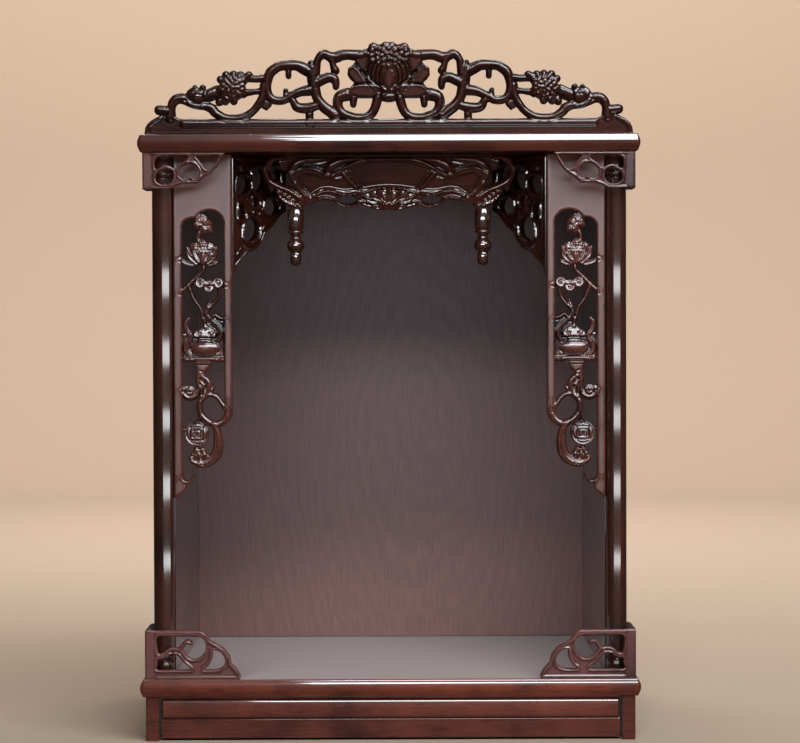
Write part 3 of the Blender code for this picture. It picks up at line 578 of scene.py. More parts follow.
def crest_lotus(wood):
    """Half of the lotus in the middle of the crest: flat outer petals, upright inner ones, a seed head."""
    body = plate((-9, 91), (16, 91), (21, 87), (31, 84), (33.5, 73.5), (36, 70.5), (40.5, 67.5),
                 (41, 61), (38.5, 57), (34, 53.2), (37.5, 48.8), (41, 43), (30, 38), (16, 38),
                 (9, 38.5), (6.5, 35), (2, 33.8), (-9, 33.8), grow=0.5)
    wood.flat(body, level=-4.2, fall=1.2)
    wood.dome(3, 89.2, 4.8, crown=-1.2, shoulder=-3)
    wood.dome(15.5, 88, 5, crown=-1.2, shoulder=-3)
    upper = plate((20, 84), (30.5, 83), (33, 73.5), (28, 66), (21, 62), grow=0.4)
    wood.flat(upper, level=-2.0, fall=1.8, moat=1)
    outer = {"level": -0.9, "fall": 1.6, "moat": 1.4}
    wood.flat(plate((40, 66.5), (36, 69.5), (31, 66), (22, 52), (33, 52.5), (40, 61), grow=0.8), **outer)
    wood.ridge((36, 69.5), (39.5, 66), width=1.6, rise=0.5)
    lower = plate((11, 42), (16, 38.5), (30, 38.5), (40, 43), (36.5, 48.5), (30, 51), (12, 50), grow=0.6)
    wood.flat(lower, **outer)
    wood.dome(0, 64, 22.5, 27, crown=0.2, shoulder=-2.6, moat=1.2)
    seed_head = plate((-9, 89), (15, 88.5), (20.5, 85), (21, 76), (12, 72), (-9, 71))
    wood.flat(seed_head, level=-1.6, fall=1.2, wood=False)
    for row, (z, count, width) in enumerate(((85.5, 3, 17), (80.6, 4, 20), (75.6, 3, 17))):
        for number in range(count + 1):
            x = width * (number + 0.5 * (row % 2)) / count
            wood.seed(x, z + 0.9 * (-1) ** number, 2.5, 1.7)
    wood.vine((0, 47, 7), (0, 54, 12.6), (0, 61, 10.5), (0, 68.5, 2), crown=1.3, shoulder=-0.4,
              moat=1.2, wood=False)
    for reach, low, top in ((9.4, 46.5, 68.5), (13.6, 47, 71), (17.8, 49, 73.5), (21.4, 52, 76)):
        wood.ridge((0.45 * reach, low, 1.4), (0.86 * reach, low + 5, 1.8), (reach, low + 11, 2),
                   (0.94 * reach, top - 6, 1.8), (0.72 * reach, top, 1.2), rise=-1.9)
    for x, z in ((0, 69), (6, 70.5), (10.8, 72.5), (15.5, 75)):
        wood.seed(x, z, 1.6, 1.2)
    wood.vine((-7, 48.6, 3), (-4, 45.2, 3.6), (0, 44, 4), (4, 45.2, 3.6), (7, 48.6, 3),
              crown=0.8, shoulder=-0.4, moat=0.6, wood=False)
    wood.dome(0, 39, 8, 4.6, crown=-0.6, shoulder=-3.4, moat=0.8, wood=False)


def crest(finish):
    """The pierced crest on the roof. Its back has the same stems, only rounded over."""
    low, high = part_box("crest")
    wood = Carving((0, -2), (250, 100), 0.8)
    crest_vines(wood)
    crest_bud(wood)
    crest_flower(wood)
    crest_lotus(wood)
    wood.sharpen(2.4, 0.45)
    wood.soften(1.1)
    wood.mirror()
    thickness = (high.y - low.y) / MM + CREST_CROWN
    back = -thickness - np.clip(wood.face, -CREST_SHOULDER, -CREST_CROWN)
    mesh = board_mesh("crest", wood, thickness, back)
    set_board(mesh, (0, low.y, low.z))
    add_piece("crest_carved", mesh, finish, "crest")


# ---------------------------------------------------------------- the fret boards

# The left board: x from its outer edge, z up from its foot.
FRET_HEIGHT = 349.0
FRET_THICKNESS = 11.0
LOTUS_HEART = (29, 248)
BOWL_HEART = (31.5, 153.5)
COIN = (22.8, 67.2)
COIN_RADIUS = 12.4
COIN_RING = 10.2
COIN_HOLE = 2.0  # half its side


def fret_frame(wood):
    """The two long stiles of a fret board, its head, and the scroll that ends the inner stile."""
    slot = (plate((8.5, -9), (8.5, 274), (51, 277.8), (51, -9)), disc(19, 274, 10.8), disc(36.5, 277.8, 15))
    wood.flat(plate((0, 262), (0, FRET_HEIGHT), (59, FRET_HEIGHT), (59, 262)))
    wood.pierce(*slot)
    stile = plate((0, 4), (0, 270), (8.5, 270), (8.5, 22), (11, 16), (12.5, 10.5), (7, 6.5), (2, 1))
    wood.flat(stile)
    wood.flat(plate((51, 92), (51, 270), (59, 270), (59, 92)))
    ring = {"crown": 0.0, "shoulder": -2.2}
    wood.vine((55, 98, 8), (54.5, 87, 8), (50, 80, 7.5), (43, 76.5, 7), (35, 79, 6.5), (28.5, 85, 6),
              (25.5, 93, 6), (27, 100.5, 6), (32.5, 106.5, 6), (35.5, 113, 6), (34.5, 120, 5.5),
              (29, 125, 5), **ring)
    wood.vine((29, 103, 5), (36, 106.5, 4.5), (43, 104.5, 5), (48, 98, 5), (53, 91, 6),
              crown=-0.4, shoulder=-2.6)
    wood.vine((7, 22, 5), (11, 18.5, 4), (16, 18.5, 3.5), (20.5, 25.5, 3), crown=-0.3)
    wood.ridge((12, 22.5, 2), (14.5, 20.5, 1.6), (18, 21.5, 1.4), rise=0.6)
    wood.ridge((11.5, 14.5, 1.6), (14.6, 12.6, 1.4), rise=0.6)


def fret_stems(wood):
    """The stems, ribbons and scrolls that hang in the slot of a fret board."""
    wood.vine((28, 274, 5), (24.5, 265, 4), (27, 257, 5), crown=-1.4)
    wood.vine((31, 276, 6), (38, 271, 5), crown=-1.2)
    wood.vine((30, 240, 4), (30, 232, 4), (23, 225, 4.5), (15, 217, 6), (7, 210, 5), crown=-0.8)
    wood.ridge((31.5, 238), (31, 233.5), (23.5, 227.5), (17.5, 222), width=2, rise=0.5)
    wood.vine((22, 224, 4), (28, 219, 4), crown=-2)
    wood.vine((43, 217, 5), (53, 217, 4.5), crown=-2)
    wood.vine((15, 217, 5), (18, 209, 3.5), (22, 201, 3.5), (27, 194, 3.5), (29, 186, 3.5),
              (31.5, 177, 3.5), crown=-0.6)
    wood.vine((45, 216, 4), (46, 208, 3.5), (41.5, 200, 3.5), (36, 194, 3.5), (32, 188, 3.5), crown=-1)
    wood.vine((36.5, 200.5, 4.5), (34, 193, 4), crown=-1.2)
    for x, z in ((36.7, 202), (34, 197), (35.3, 194)):
        wood.seed(x, z, 1.7, 1.3)


def fret_ground(wood):
    """The ground that is left behind the bowl, with the ribbons on it."""
    ground = plate((7, 140.5), (7, 168.5), (17, 168.5), (30, 172), (38, 185), (52, 184), (52, 140.5))
    wood.flat(ground, level=-3.4, fall=0.6, tilt=0.03)
    wood.stipple(ground)
    ribbon = {"crown": -1.0, "shoulder": -3.2, "moat": 0.9, "section": ribbed}
    wood.vine((34, 195, 4), (33.5, 187.5, 4), (39, 181, 4), (45, 175.5, 4), (48, 168, 4),
              (45.5, 161, 3.4), **ribbon)
    wood.vine((36, 181, 3), (41, 187, 4), (47, 184, 4), (53, 183, 3), crown=-0.6)
    wood.vine((15, 183, 3.5), (12, 178, 4.8), (13.5, 172, 5), (17, 165.5, 5.4), (13, 158.5, 5.4),
              (12.5, 151.5, 5.2), (17, 144.5, 4), **ribbon)


def fret_flower(wood):
    """The rosette and the lotus at the top of a fret board's slot."""
    petals = ((28.3, 282, 6.5), (34, 279, 4.5), (31, 274, 5), (36, 273.5, 3.5), (23.5, 277.5, 3.5))
    for x, z, radius in petals:
        wood.dome(x, z, radius, crown=-0.2, shoulder=-2.8, moat=0.8)
    wood.curl(28.2, 282.5, 5.2, turns=1.5, start=0.6, rise=-1.2, width=1.5)
    seeds = ((23.7, 280), (32, 278.5), (36.5, 273), (30, 276), (26.5, 277.5), (32.5, 272.8), (34.8, 280.5))
    for x, z in seeds:
        wood.seed(x, z, 1.5, 1.1)
    wood.dome(*LOTUS_HEART, 11, crown=0.2, shoulder=-2.6)
    for x, z in ((21, 255), (29, 258.5), (37, 255)):
        wood.dome(x, z, 5, crown=-0.4, shoulder=-2.4, moat=0.4)
    for row, z in enumerate((250.5, 253.6, 256.7, 259.8)):
        for number in range(6 - row // 2):
            wood.seed(21 + row // 2 + 1.6 * (row % 2) + 3.2 * number, z, 1.5, 1.0)
    petal = {"section": dished, "moat": 0.9}
    wood.vine((28, 240, 5), (17, 238.5, 5), (7, 243, 4), crown=-0.4, **petal)
    wood.vine((31, 240, 5), (38, 238, 5), (45, 241, 3.5), crown=-0.4, **petal)
    wood.vine((24, 240, 6), (17, 246, 6), (14, 255, 2.5), crown=0.6, shoulder=-2.4, **petal)
    wood.vine((34, 240, 6), (41, 246, 6), (43.5, 255, 2.5), crown=0.6, shoulder=-2.4, **petal)
    inner = {"section": rounded, "moat": 0.9, "shoulder": -1.4, "wood": False}
    wood.vine((25.5, 240.5, 4.5), (22, 245, 5.5), (20.5, 251, 2), crown=0.7, **inner)
    wood.vine((33, 240.5, 4.5), (37, 245, 5.5), (38.5, 251, 2), crown=0.7, **inner)
    wood.vine((29.5, 239.5, 5), (30, 244.5, 7.5), (30.5, 250, 2), crown=1.2, **inner)


def fret_cloud(wood):
    """A cloud of three curls."""
    cloud = {"level": 0.3, "fall": 0.8, "moat": 0.5, "tilt": 0.18}
    wood.flat(plate((27, 217.5), (27, 222), (33, 221), (39, 221), (45, 222), (45, 217.5), grow=0.5), **cloud)
    for x, z, radius in ((27, 219, 5.4), (45, 219, 5.4), (36, 214.6, 5.2)):
        wood.flat(disc(x, z, radius), **cloud)
    wood.curl(27.2, 219.0, 3.4, turns=0.9, start=0.5, rise=-1.6, width=1.4)
    wood.curl(44.8, 219.0, 3.4, turns=0.9, start=2.6, rise=-1.6, width=1.4, way=-1)
    wood.curl(36, 214.2, 2.8, turns=0.8, start=1.5, rise=-1.6, width=1.4)
    wood.ridge((33, 222, 1.2), (36, 218.8, 1.4), (39, 222, 1.2), rise=-1.4)


def fret_bowl(wood):
    """The lidded offering bowl on its foot."""
    wood.vine((31.5, 184, 3), (31.5, 172, 4.5), crown=-0.4)
    lid = plate((20.5, 165), (21, 169), (25.5, 171.8), (29.5, 175), (32, 178), (35.5, 175),
                (39.5, 172.5), (42.3, 169.5), (42.3, 165), grow=0.5)
    wood.flat(lid, level=0.2, fall=0.9, moat=1.6, tilt=0.2)
    wood.flat(plate((25, 160), (25, 166), (38, 166), (38, 160)), level=-1.8)
    wood.curl(26.4, 168.2, 2.9, turns=0.9, start=2.2, rise=-1.7, width=1.5)
    wood.curl(36.9, 168.2, 2.9, turns=0.9, start=0.9, rise=-1.7, width=1.5, way=-1)
    wood.ridge((22.5, 170), (26.5, 172.8), (31.5, 172.4), width=1.2, rise=-0.9)
    wood.ridge((41, 170), (36.5, 173.4), (31.5, 172.4), width=1.2, rise=-0.9)
    wood.seed(31.6, 175, 1.6, 0.8)
    wood.ridge((21, 164.4), (42, 164.4), width=1.2, rise=-1.0)
    wood.dome(*BOWL_HEART, 14.2, 8, crown=1.4, shoulder=-2.2, moat=1.8, section=lambda s: 1 - s**2.2)
    wood.ridge((19.5, 158.6, 1), (31.5, 160.2, 1.2), (43.5, 158.6, 1), rise=-0.6)
    stem = plate((22, 140), (37, 140), (35, 132), (28, 126), (25.5, 121), (22.5, 121), (23, 128))
    wood.flat(stem, level=-0.8, fall=1.4)
    wood.vine((20, 142.5, 5), (42, 142.5, 5), crown=0.2, shoulder=-2.4)
    wood.ridge((22, 143.6), (40, 143.6), width=1.8, rise=0.5)
    wood.vine((22.5, 138.4, 3), (36.5, 138.4, 3), crown=0.4, shoulder=-1.4, moat=0.8, wood=False)
    for x, z in ((13, 141.8), (17.5, 141.8), (43.5, 141.8), (48.5, 141.8)):
        wood.dome(x, z, 3, crown=-0.2, shoulder=-2.6)
        wood.seed(x, z + 0.8, 1.8, 0.8)
    wood.ridge((26, 131), (31, 128.5), (33.5, 131.5), width=1.2, rise=-0.7)


def fret_wave(wood):
    """The curling wave beside the scroll."""
    wood.vine((24, 123, 4), (25, 112, 4.5), (21, 105, 6), (14, 104, 7), (7, 110, 5), crown=-0.6)
    wood.vine((23, 123, 4), (29, 125, 4), crown=-0.6)
    wood.vine((29.5, 121, 4), (31.5, 116, 4), crown=-1.4)
    wood.vine((25, 120, 7), (29, 113, 7), (28, 105, 5), crown=-0.6, section=ribbed)
    wood.dome(16, 110.5, 5.5, crown=-0.2, shoulder=-2.4)
    wood.dome(11, 112, 3.5, crown=-0.4, shoulder=-2.4)
    wood.curl(15.6, 110.8, 4.6, turns=1.3, start=4.0, rise=-1.3, width=1.4, way=-1)
    wood.curl(10.8, 111.8, 2.6, turns=0.9, start=4.0, rise=-1.1, width=1.2, way=-1)
    for shift in (0, 2.2):
        wood.ridge((10, 107 - shift), (16, 104.6 - shift), (22, 107 - shift), (24.5, 113), width=1.2,
                   rise=-0.9)
    wood.vine((36, 106, 3), (40, 114, 3), crown=-1.0)
    wood.seed(43.2, 113.4, 2.4, 1.0)


def square(x, z, half):
    """The corners of a square round a point."""
    return (x - half, z - half), (x + half, z - half), (x + half, z + half), (x - half, z + half)


def fret_coin(wood):
    """An old coin with a square hole, and the wave and foam below it."""
    wood.vine((23, 77, 4), (27, 85, 5), crown=-1.6)
    wood.vine((7, 73, 3), (13, 70, 4), crown=-2)
    wave = ((40, 78, 6), (43.5, 68, 8), (44.5, 57, 9.5), (42, 46, 10.5), (35, 39, 10), (26, 37, 8),
            (17, 40, 4))
    wood.vine(*wave, crown=0.2, shoulder=-2.6)
    points = smooth_path(wave, 4)
    turn = np.gradient(points[:, :2], axis=0)
    turn /= np.maximum(np.hypot(*turn.T), 1e-9)[:, None]
    sideways = np.stack([-turn[:, 1], turn[:, 0]], 1)
    for inset in (-0.31, 0.0, 0.31):
        line = points[:, :2] + sideways * (points[:, 2:] * inset)
        wood.ridge(*line[::3].tolist(), width=2.2, rise=1.3)
    foam = ((20, 45.5, 3.6), (25.5, 46, 4), (31, 45.5, 3.4), (28.5, 50.5, 3.2), (22.5, 50.5, 3.2),
            (17.5, 42.5, 3))
    for x, z, radius in foam:
        wood.dome(x, z, radius, crown=-0.4, shoulder=-2.4, moat=0.9)
        wood.seed(x - 1, z + 0.6, 1.5, 1.0)
    wood.vine((19, 47, 4), (25, 50.5, 5), (31, 47.5, 4), crown=-0.2)
    wood.vine((23, 48, 4), (23, 56, 4), crown=-1)
    wood.vine((25, 48, 5), (27, 39, 6), crown=-0.6)
    wood.curl(21, 44.6, 2.6, turns=1.0, start=1, rise=-1.0, width=1.2)
    wood.curl(26.5, 49, 2.4, turns=1.0, start=2, rise=-1.0, width=1.2, way=-1)
    wood.curl(22.5, 39.4, 2.2, turns=0.9, start=1, rise=-0.9, width=1.1)
    wood.ridge((24.5, 40.5, 1.8), (28.5, 37.6, 1.8), (33.5, 37.4, 1.6), rise=0.7)
    x, z = COIN
    wood.flat(disc(x, z, COIN_RADIUS), level=-0.9, fall=1.2, moat=1.4, tilt=0.15)
    turns = np.linspace(0, math.tau, 25)
    ring = [(x + COIN_RING * math.cos(turn), z + COIN_RING * math.sin(turn)) for turn in turns]
    wood.ridge(*ring, width=1.7, rise=-1.5)
    for half, width in ((6.2, 1.6), (3.4, 1.3)):
        corners = square(x, z, half)
        for a, b in zip(corners, corners[1:] + corners[:1]):
            wood.ridge(a, b, width=width, rise=-1.4)
    wood.pierce(plate(*square(x, z, COIN_HOLE)))


def fret_boards(finish):
    """The two boards beside the opening, each the mirror image of the other."""
    wood = Carving((-2, -2), (61, 351), 0.6)
    fret_frame(wood)
    fret_stems(wood)
    fret_ground(wood)
    fret_flower(wood)
    fret_cloud(wood)
    fret_wave(wood)
    fret_bowl(wood)
    fret_coin(wood)
    wood.soften(0.8)
    for side, sign in SIDES:
        node = f"fret_board_{side}"
        low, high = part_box(node)
        mesh = board_mesh(node, wood, FRET_THICKNESS, mirrored=sign > 0)
        outer = low.x if sign < 0 else high.x
        set_board(mesh, (outer, high.y - FRET_THICKNESS * MM, high.z - FRET_HEIGHT * MM))
        add_piece(f"fret_board_carved_{side}", mesh, finish, node)


# ---------------------------------------------------------------- corner brackets


def rail_bracket(wood):
    """A corner bracket on the base slab: x from its outer corner, z up from the slab."""
    wood.flat(plate((0, 0), (0, 48.7), (56, 48.7), (61, 45.7), (65.4, 39), (72.7, 34.7), (79.7, 30.3),
                    (85, 23), (86.5, 15.7), (93, 8.7), (96, 2.7), (95, 0)), fall=0.8)
    wood.pierce(
        hollow((12.5, 42.3), (30, 43.2), (50, 43.2), (58.8, 40), (61, 32), (58.5, 25.6), (53, 20.8),
               (47.2, 20.4), (42, 23.5), (38.5, 28.5), (33, 31.6), (27, 31.8), (22, 29.8), (18.5, 26.9),
               (14.5, 25.6), (12.4, 29)),
        hollow((12.6, 9.6), (30, 9.2), (46, 9.6), (43, 13), (39, 16.5), (35.5, 21), (32, 24.4),
               (27, 25.2), (21.5, 23), (17.5, 20.2), (13, 19.6), (12.2, 14)),
        hollow((68.5, 29), (74.5, 27.8), (79, 22.8), (80, 16.5), (76, 11.2), (68, 9.3), (59, 9.6),
               (63.5, 13.3), (66.5, 18.3), (68, 24)),
    )
    wood.vine((30, 27, 5), (35, 29.8, 5), (38, 34, 4.4), (41.6, 37.6, 4), (45.4, 36.4, 4.6),
              crown=0.9, shoulder=-0.8, moat=0)
    wood.rim(1.7, 3.2, 1.3, 9)


def roof_bracket(wood):
    """A corner bracket under the roof slab: x from its outer corner, z down from the slab."""
    wood.flat(plate((0, 0), (0, 36.8), (27, 36.8), (31.7, 34), (39.7, 31), (55, 31), (61, 24.7),
                    (68, 21), (74.5, 14), (79, 5), (82.6, 0)), fall=0.8)
    wood.pierce(
        hollow((12.2, 11.7), (13.2, 6.5), (18, 3.8), (31, 3.4), (43, 3.4), (45, 6), (38, 11.5), (32.8, 15.8),
               (28, 13.6), (22.2, 12.4), (17.2, 15), (13.5, 16.6)),
        hollow((54, 3.8), (65, 3.4), (76.5, 3.4), (74, 8.3), (69.4, 15.6), (65.5, 17.2), (61.8, 15.4),
               (59.6, 12), (56, 7)),
        hollow((13, 25), (15.5, 19.6), (22.2, 16.6), (28.5, 17.6), (31, 21.7), (30.4, 26.7), (27, 30.8),
               (20.5, 32), (14.8, 29.4)),
        hollow((37, 23.3), (36.4, 18.3), (39.2, 14.4), (45.5, 11), (51.8, 12), (55.6, 16.7), (57, 21.4),
               (55, 25.4), (51, 26), (48.3, 23.6), (45.3, 26), (40.4, 26.2)),
    )
    wood.seed(48.3, 25.2, 2.2, 1.2)
    wood.rim(1.4, 2.6, 1.2, 8)


def brackets(finish):
    """Front and side plates of the four front corners' brackets. Each pair meets at the corner."""
    for kind, carve, hangs in (("rail_bracket", rail_bracket, False), ("roof_bracket", roof_bracket, True)):
        for side, sign in SIDES:
            low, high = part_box(f"{kind}_front_{side}")
            outer = low.x if sign < 0 else high.x
            thickness = (high.y - low.y) / MM
            height = high.z if hangs else low.z
            for face in ("front", "side"):
                node = f"{kind}_{face}_{side}"
                wood = Carving((-2, -2), (100, 52), 0.55)
                carve(wood)
                if face == "side":
                    start = (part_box(node)[0].y - low.y) / MM
                    wood.pierce(plate((-9, -9), (-9, 60), (start, 60), (start, -9)))
                wood.soften(0.8)
                if hangs:
                    wood.hang()
                turned = (sign > 0) == (face == "front")
                mesh = board_mesh(node, wood, thickness, mirrored=turned)
                across = (1, 0, 0) if face == "front" else (0, sign, 0)
                set_board(mesh, (outer, low.y, height), across)
                add_piece(f"{kind}_carved_{face}_{side}", mesh, finish, node)


# ---------------------------------------------------------------- canopy and wings

CANOPY_TILT = math.radians(13)
CANOPY_THICKNESS = 9.0
WING_LENGTH = 82.8
WING_HEIGHT = 124.0
WING_THICKNESS = 8.0
WING_TURN = math.radians(50.6)


def canopy_board(wood):
    """Half of the canopy: x from the middle, z down the board from the roof slab."""
    wood.flat(plate((-9, 0), (17, 0), (33, 3), (46, 9.5), (54, 14.5), (60, 16.5), (66, 14.5), (74, 10.5),
                    (83, 9), (92, 10), (104, 16.5), (98, 28), (94, 38), (86, 49), (78, 47),
                    (70, 44.5), (58, 45.5), (50, 50.5), (38, 52.5), (30, 49.5), (22, 51.5), (12, 54.5),
                    (-9, 55.5)), level=-1.2, fall=1.2)
    wood.flat(plate((10, 0), (114, 0), (112, 12), (104, 17), (92, 12), (83, 11), (74, 12.5), (66, 16.5),
                    (60, 18.5), (54, 16.5), (46, 11.5), (33, 5)), level=-4.6)
    wood.vine((24, 0.5, 4), (38, 2.4, 6), (50, 4.6, 7.4), (59, 9, 8), (62, 15, 7), (57.5, 20, 5),
              (52, 19.6, 3.4), crown=-1.0, shoulder=-4)
    wood.vine((66, 1.5, 5), (76, 3, 6.5), (86, 3.6, 7), (96, 8, 7), (101, 15, 6), crown=-1.6, shoulder=-4.2)
    wood.ridge((50, 21.6, 1.8), (57, 22.4, 2), (63, 20, 1.8), (68, 15.6, 1.6), rise=0.9)
    wood.pierce(disc(43.5, 44.2, 10, 4.8))
    wood.sink(plate((-9, 3), (20, 4), (44, 12), (27, 33), (12, 30.5), (-9, 29.5), grow=0.5), 1.6, 2.2)
    wood.sink(plate((49, 15.5), (57, 20.5), (66, 21), (76, 17), (86, 15), (95, 20), (88, 33), (80, 42),
                    (78.5, 38.5), (70, 33), (61.5, 32), (54.7, 33.5), (46, 35), (33, 34), grow=0.3),
              1.6, 2.2)
    wood.ridge((48.7, 11), (29.2, 33.5), width=1.6, rise=-1.4)
    wood.ridge((-9, 31.6, 2.4), (12, 32, 2.4), (22, 35, 2.4), (30, 37, 2.4), (46, 38, 2.6), (56, 35.5, 2.6),
               (63, 34.5, 2.6), (71, 36.5, 2.6), (77, 41, 2.4), rise=1.2)
    wood.ridge((33, 36.6, 3), (43, 38.4, 3.4), (53, 36.6, 3), rise=1.6)
    wood.ridge((57, 43), (64, 41), (72, 42.5), width=3, rise=1.8)
    wood.ridge((30, 46.6), (38, 50), (48.7, 48.4), (57, 43.5), width=2.8, rise=2.0)
    wood.ridge((20.3, 46), (27.5, 45.2), width=2.2, rise=0.9)
    wood.ridge((11.4, 50.5), (19, 48), width=2.4, rise=0.9)
    wood.ridge((96.3, 26), (91.2, 33.5), (85.2, 41), width=2.2, rise=0.9)
    wood.ridge((-9, 2), (17, 2), (33, 5), (46, 11.4), (54, 16.6), (60, 18.6), (66, 16.8), (74, 12.8),
               (83, 11.2), (92, 12.4), (101, 17.5), width=2.4, rise=1.0)


def canopy_flower(wood):
    """The flower in the middle of the canopy's lower edge."""
    wood.dome(0, 43, 12, crown=1.2, shoulder=-1.6, moat=1.0)
    wood.dome(11, 43, 9, crown=0.6, shoulder=-1.6, moat=0.6)
    wood.dome(21, 43, 6, crown=0.0, shoulder=-1.8, moat=0.6)
    petal = {"section": dished, "moat": 0.8, "shoulder": -0.8, "wood": False}
    for crown, *stations in ((1.0, (25.5, 40, 2), (19, 44.5, 6), (11, 46, 4)),
                             (1.2, (19.4, 35.5, 2), (15, 41, 6), (8, 45, 4)),
                             (1.4, (11.5, 33, 2), (9.4, 39, 6), (4, 45, 4)),
                             (1.5, (0, 32.4, 2), (0, 38, 8), (0, 45, 6))):
        wood.vine(*stations, crown=crown, **petal)
    for number in range(4):
        wood.seed(3.4 * number, 48.4 - 0.25 * number**2, 2.0, 0.9)
    for number in range(3):
        wood.seed(1.8 + 3.4 * number, 51.4, 1.7, 0.7)


def canopy_scrolls(wood):
    """The feathered scrolls at the two ends of the canopy."""
    wood.vine((108, 0, 5), (117, 1.5, 5.5), (123, 6.5, 6), (126, 15, 6.5), (122.5, 24, 7.5),
              (113, 30, 8), (102, 34.5, 8), (92.5, 41, 8), (89, 48.5, 7), crown=0.0, shoulder=-3.4)
    wood.pierce(plate((-9, -9), (140, -9), (140, 0), (-9, 0)))
    wood.flat(plate((116, 35), (111, 42), (106, 48), (101, 51.2), (90, 51.2), (90, 44), (100, 37), (110, 33),
                    grow=0.8), level=-1.4, fall=1.4)
    feathers = ((115, 33, 108.5, 45), (110.5, 36, 103.5, 48.5), (106.5, 39, 99, 50.5), (102.5, 42, 95, 51),
                (98.5, 45, 91.5, 51))
    for x, z, u, v in feathers:
        wood.ridge((x, z, 3.2), ((x + u) / 2 + 1.4, (z + v) / 2 + 0.6, 3.2), (u, v, 2.2), rise=1.5)
    wood.ridge((121, 8), (123, 15), (119.5, 22.5), (111, 28), (101, 32.5), (91, 39.5), width=1.2, rise=-0.8)


def canopy(finish):
    """The board that hangs from the roof slab. It leans, with its lower edge further back."""
    node = "canopy_board"
    low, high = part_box(node)
    wood = Carving((0, -2), (132, 60), 0.6)
    canopy_board(wood)
    canopy_scrolls(wood)
    canopy_flower(wood)
    wood.sharpen(2.4, 0.5)
    wood.soften(1.0)
    wood.mirror()
    wood.hang()
    up = (0, -math.sin(CANOPY_TILT), math.cos(CANOPY_TILT))
    mesh = board_mesh(node, wood, CANOPY_THICKNESS)
    set_board(mesh, (0, low.y, high.z - CANOPY_THICKNESS * MM * math.sin(CANOPY_TILT)), up=up)
    add_piece("canopy_carved", mesh, finish, node)


def wing_board(wood):
    """A splayed wing: x from the fret board, z up from its lower tip."""
    wood.flat(plate((0, 0), (0, WING_HEIGHT), (WING_LENGTH, WING_HEIGHT), (WING_LENGTH, 69), (75, 66),
                    (60, 51.5), (51, 46), (46.8, 38), (38, 29.3), (25, 25.5), (18.8, 20), (6, 10), (3, 1)),
              fall=0.8)
    wood.pierce(
        hollow((12, 88), (13, 100), (20, 102), (27, 98), (22, 88), grow=2.4),
        hollow((36, 92), (34, 108), (44, 112), (50, 104), (46, 94), grow=2.4),
        hollow((58, 96), (56, 112), (71, 112), (71, 96), (66, 91), grow=2.4),
        hollow((53, 70), (55, 79), (66, 80), (70, 74), (66, 69), grow=2.4),
        hollow((13, 61), (14, 72), (18, 72), (19, 63), grow=2.4),
        hollow((20, 43), (25, 56), (32, 60), (40, 55), (38, 45), (29, 40), grow=2.4),
        disc(37, 78, 5.5),
    )
    wood.rim(2.0, 3.4, 1.4)
    wood.ridge((3.4, 14), (3.4, 118), width=2, rise=0.8)
    wood.ridge((9.5, 24), (9.5, 116), width=1.8, rise=0.7)
    wood.ridge((24, 80, 3), (29, 76, 3.4), (34, 70, 3.2), (31, 64.5, 3), (24, 62.5, 2.6), rise=1.1)
    wood.ridge((42, 86, 3), (48, 80, 3.4), (47, 71, 3.4), (42, 65, 3), (45, 57, 3), rise=1.1)
    wood.ridge((30, 108, 2.6), (30, 96, 3), (36, 87, 3), (44, 87, 3), (53, 92, 3), (54, 104, 2.6), rise=1.0)
    wood.ridge((20, 36, 2.8), (29, 33, 3), (38, 36, 3), (44, 44, 3), (50, 54, 3), (60, 59, 3),
               (72, 70, 2.6), rise=1.0)
    wood.ridge((5, 20, 2.6), (14, 30, 2.8), (16, 44, 2.8), (19, 56, 2.4), rise=0.9)
    wood.ridge((56, 84, 2.6), (66, 86, 2.8), (76, 84, 2.6), rise=0.9)
    wood.curl(26, 70, 3.6, turns=1.1, start=0.8, rise=-0.9, width=1.4)
    wood.curl(50, 62, 3.4, turns=1.1, start=2.0, rise=-0.9, width=1.4, way=-1)


def wings(finish):
    """Pierced boards that splay inwards from the fret boards to the ends of the canopy."""
    wood = Carving((-2, -2), (WING_LENGTH + 2, WING_HEIGHT + 2), 0.7)
    wing_board(wood)
    wood.soften(1.4)
    for side, sign in SIDES:
        node = f"wing_{side}"
        low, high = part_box(node)
        outer = (low.x if sign < 0 else high.x) - sign * WING_THICKNESS * MM * math.sin(WING_TURN)
        mesh = board_mesh(node, wood, WING_THICKNESS, mirrored=sign > 0)
        across = (math.cos(WING_TURN), -sign * math.sin(WING_TURN), 0)
        set_board(mesh, (outer, low.y, low.z), across)
        add_piece(f"wing_carved_{side}", mesh, finish, node)


# ---------------------------------------------------------------- turned and moulded pieces

TURNED_SIDES = 48
BULGE = 1.9 * MM  # how far the middle of a moulded edge stands out past its rounded corners
EASED = 2.4 * MM  # the radius of those corners
EDGE_STEPS = 6
SLAB_CORNER = 4.5 * MM
SLAB_FACE, APRON_FACE, BLOCK_FACE = 1e-2, 1e-3, 2e-4  # faces over this area are flat, square metres
APRON_STEP = 21.7 * MM  # the height at which the rebate for the waist moulding starts
APRON_REBATE = 4.5 * MM
PANEL_TONGUE = 1.5 * MM  # how far the back panel's edges sit in grooves of the side panels


def feed(tree, socket, value):
    """Links another node's output into a socket, or sets the socket's own value."""
    if isinstance(value, bpy.types.NodeSocket):
        tree.links.new(value, socket)
    else:
        socket.default_value = value


def add_node(tree, kind, settings=None, **inputs):
    """Adds a node with its settings. Each input gets a value or another node's output."""
    node = tree.nodes.new(kind)
    for name, value in (settings or {}).items():
        setattr(node, name, value)
    for name, value in inputs.items():
        feed(tree, node.inputs[name.replace("_", " ")], value)
    return node


def calculated(tree, operation, *terms):
    """What a Math node makes of its terms, which are numbers or other nodes' outputs."""
    node = add_node(tree, "ShaderNodeMath", {"operation": operation})
    for socket, term in zip(node.inputs, terms):
        feed(tree, socket, term)
    return node.outputs[0]


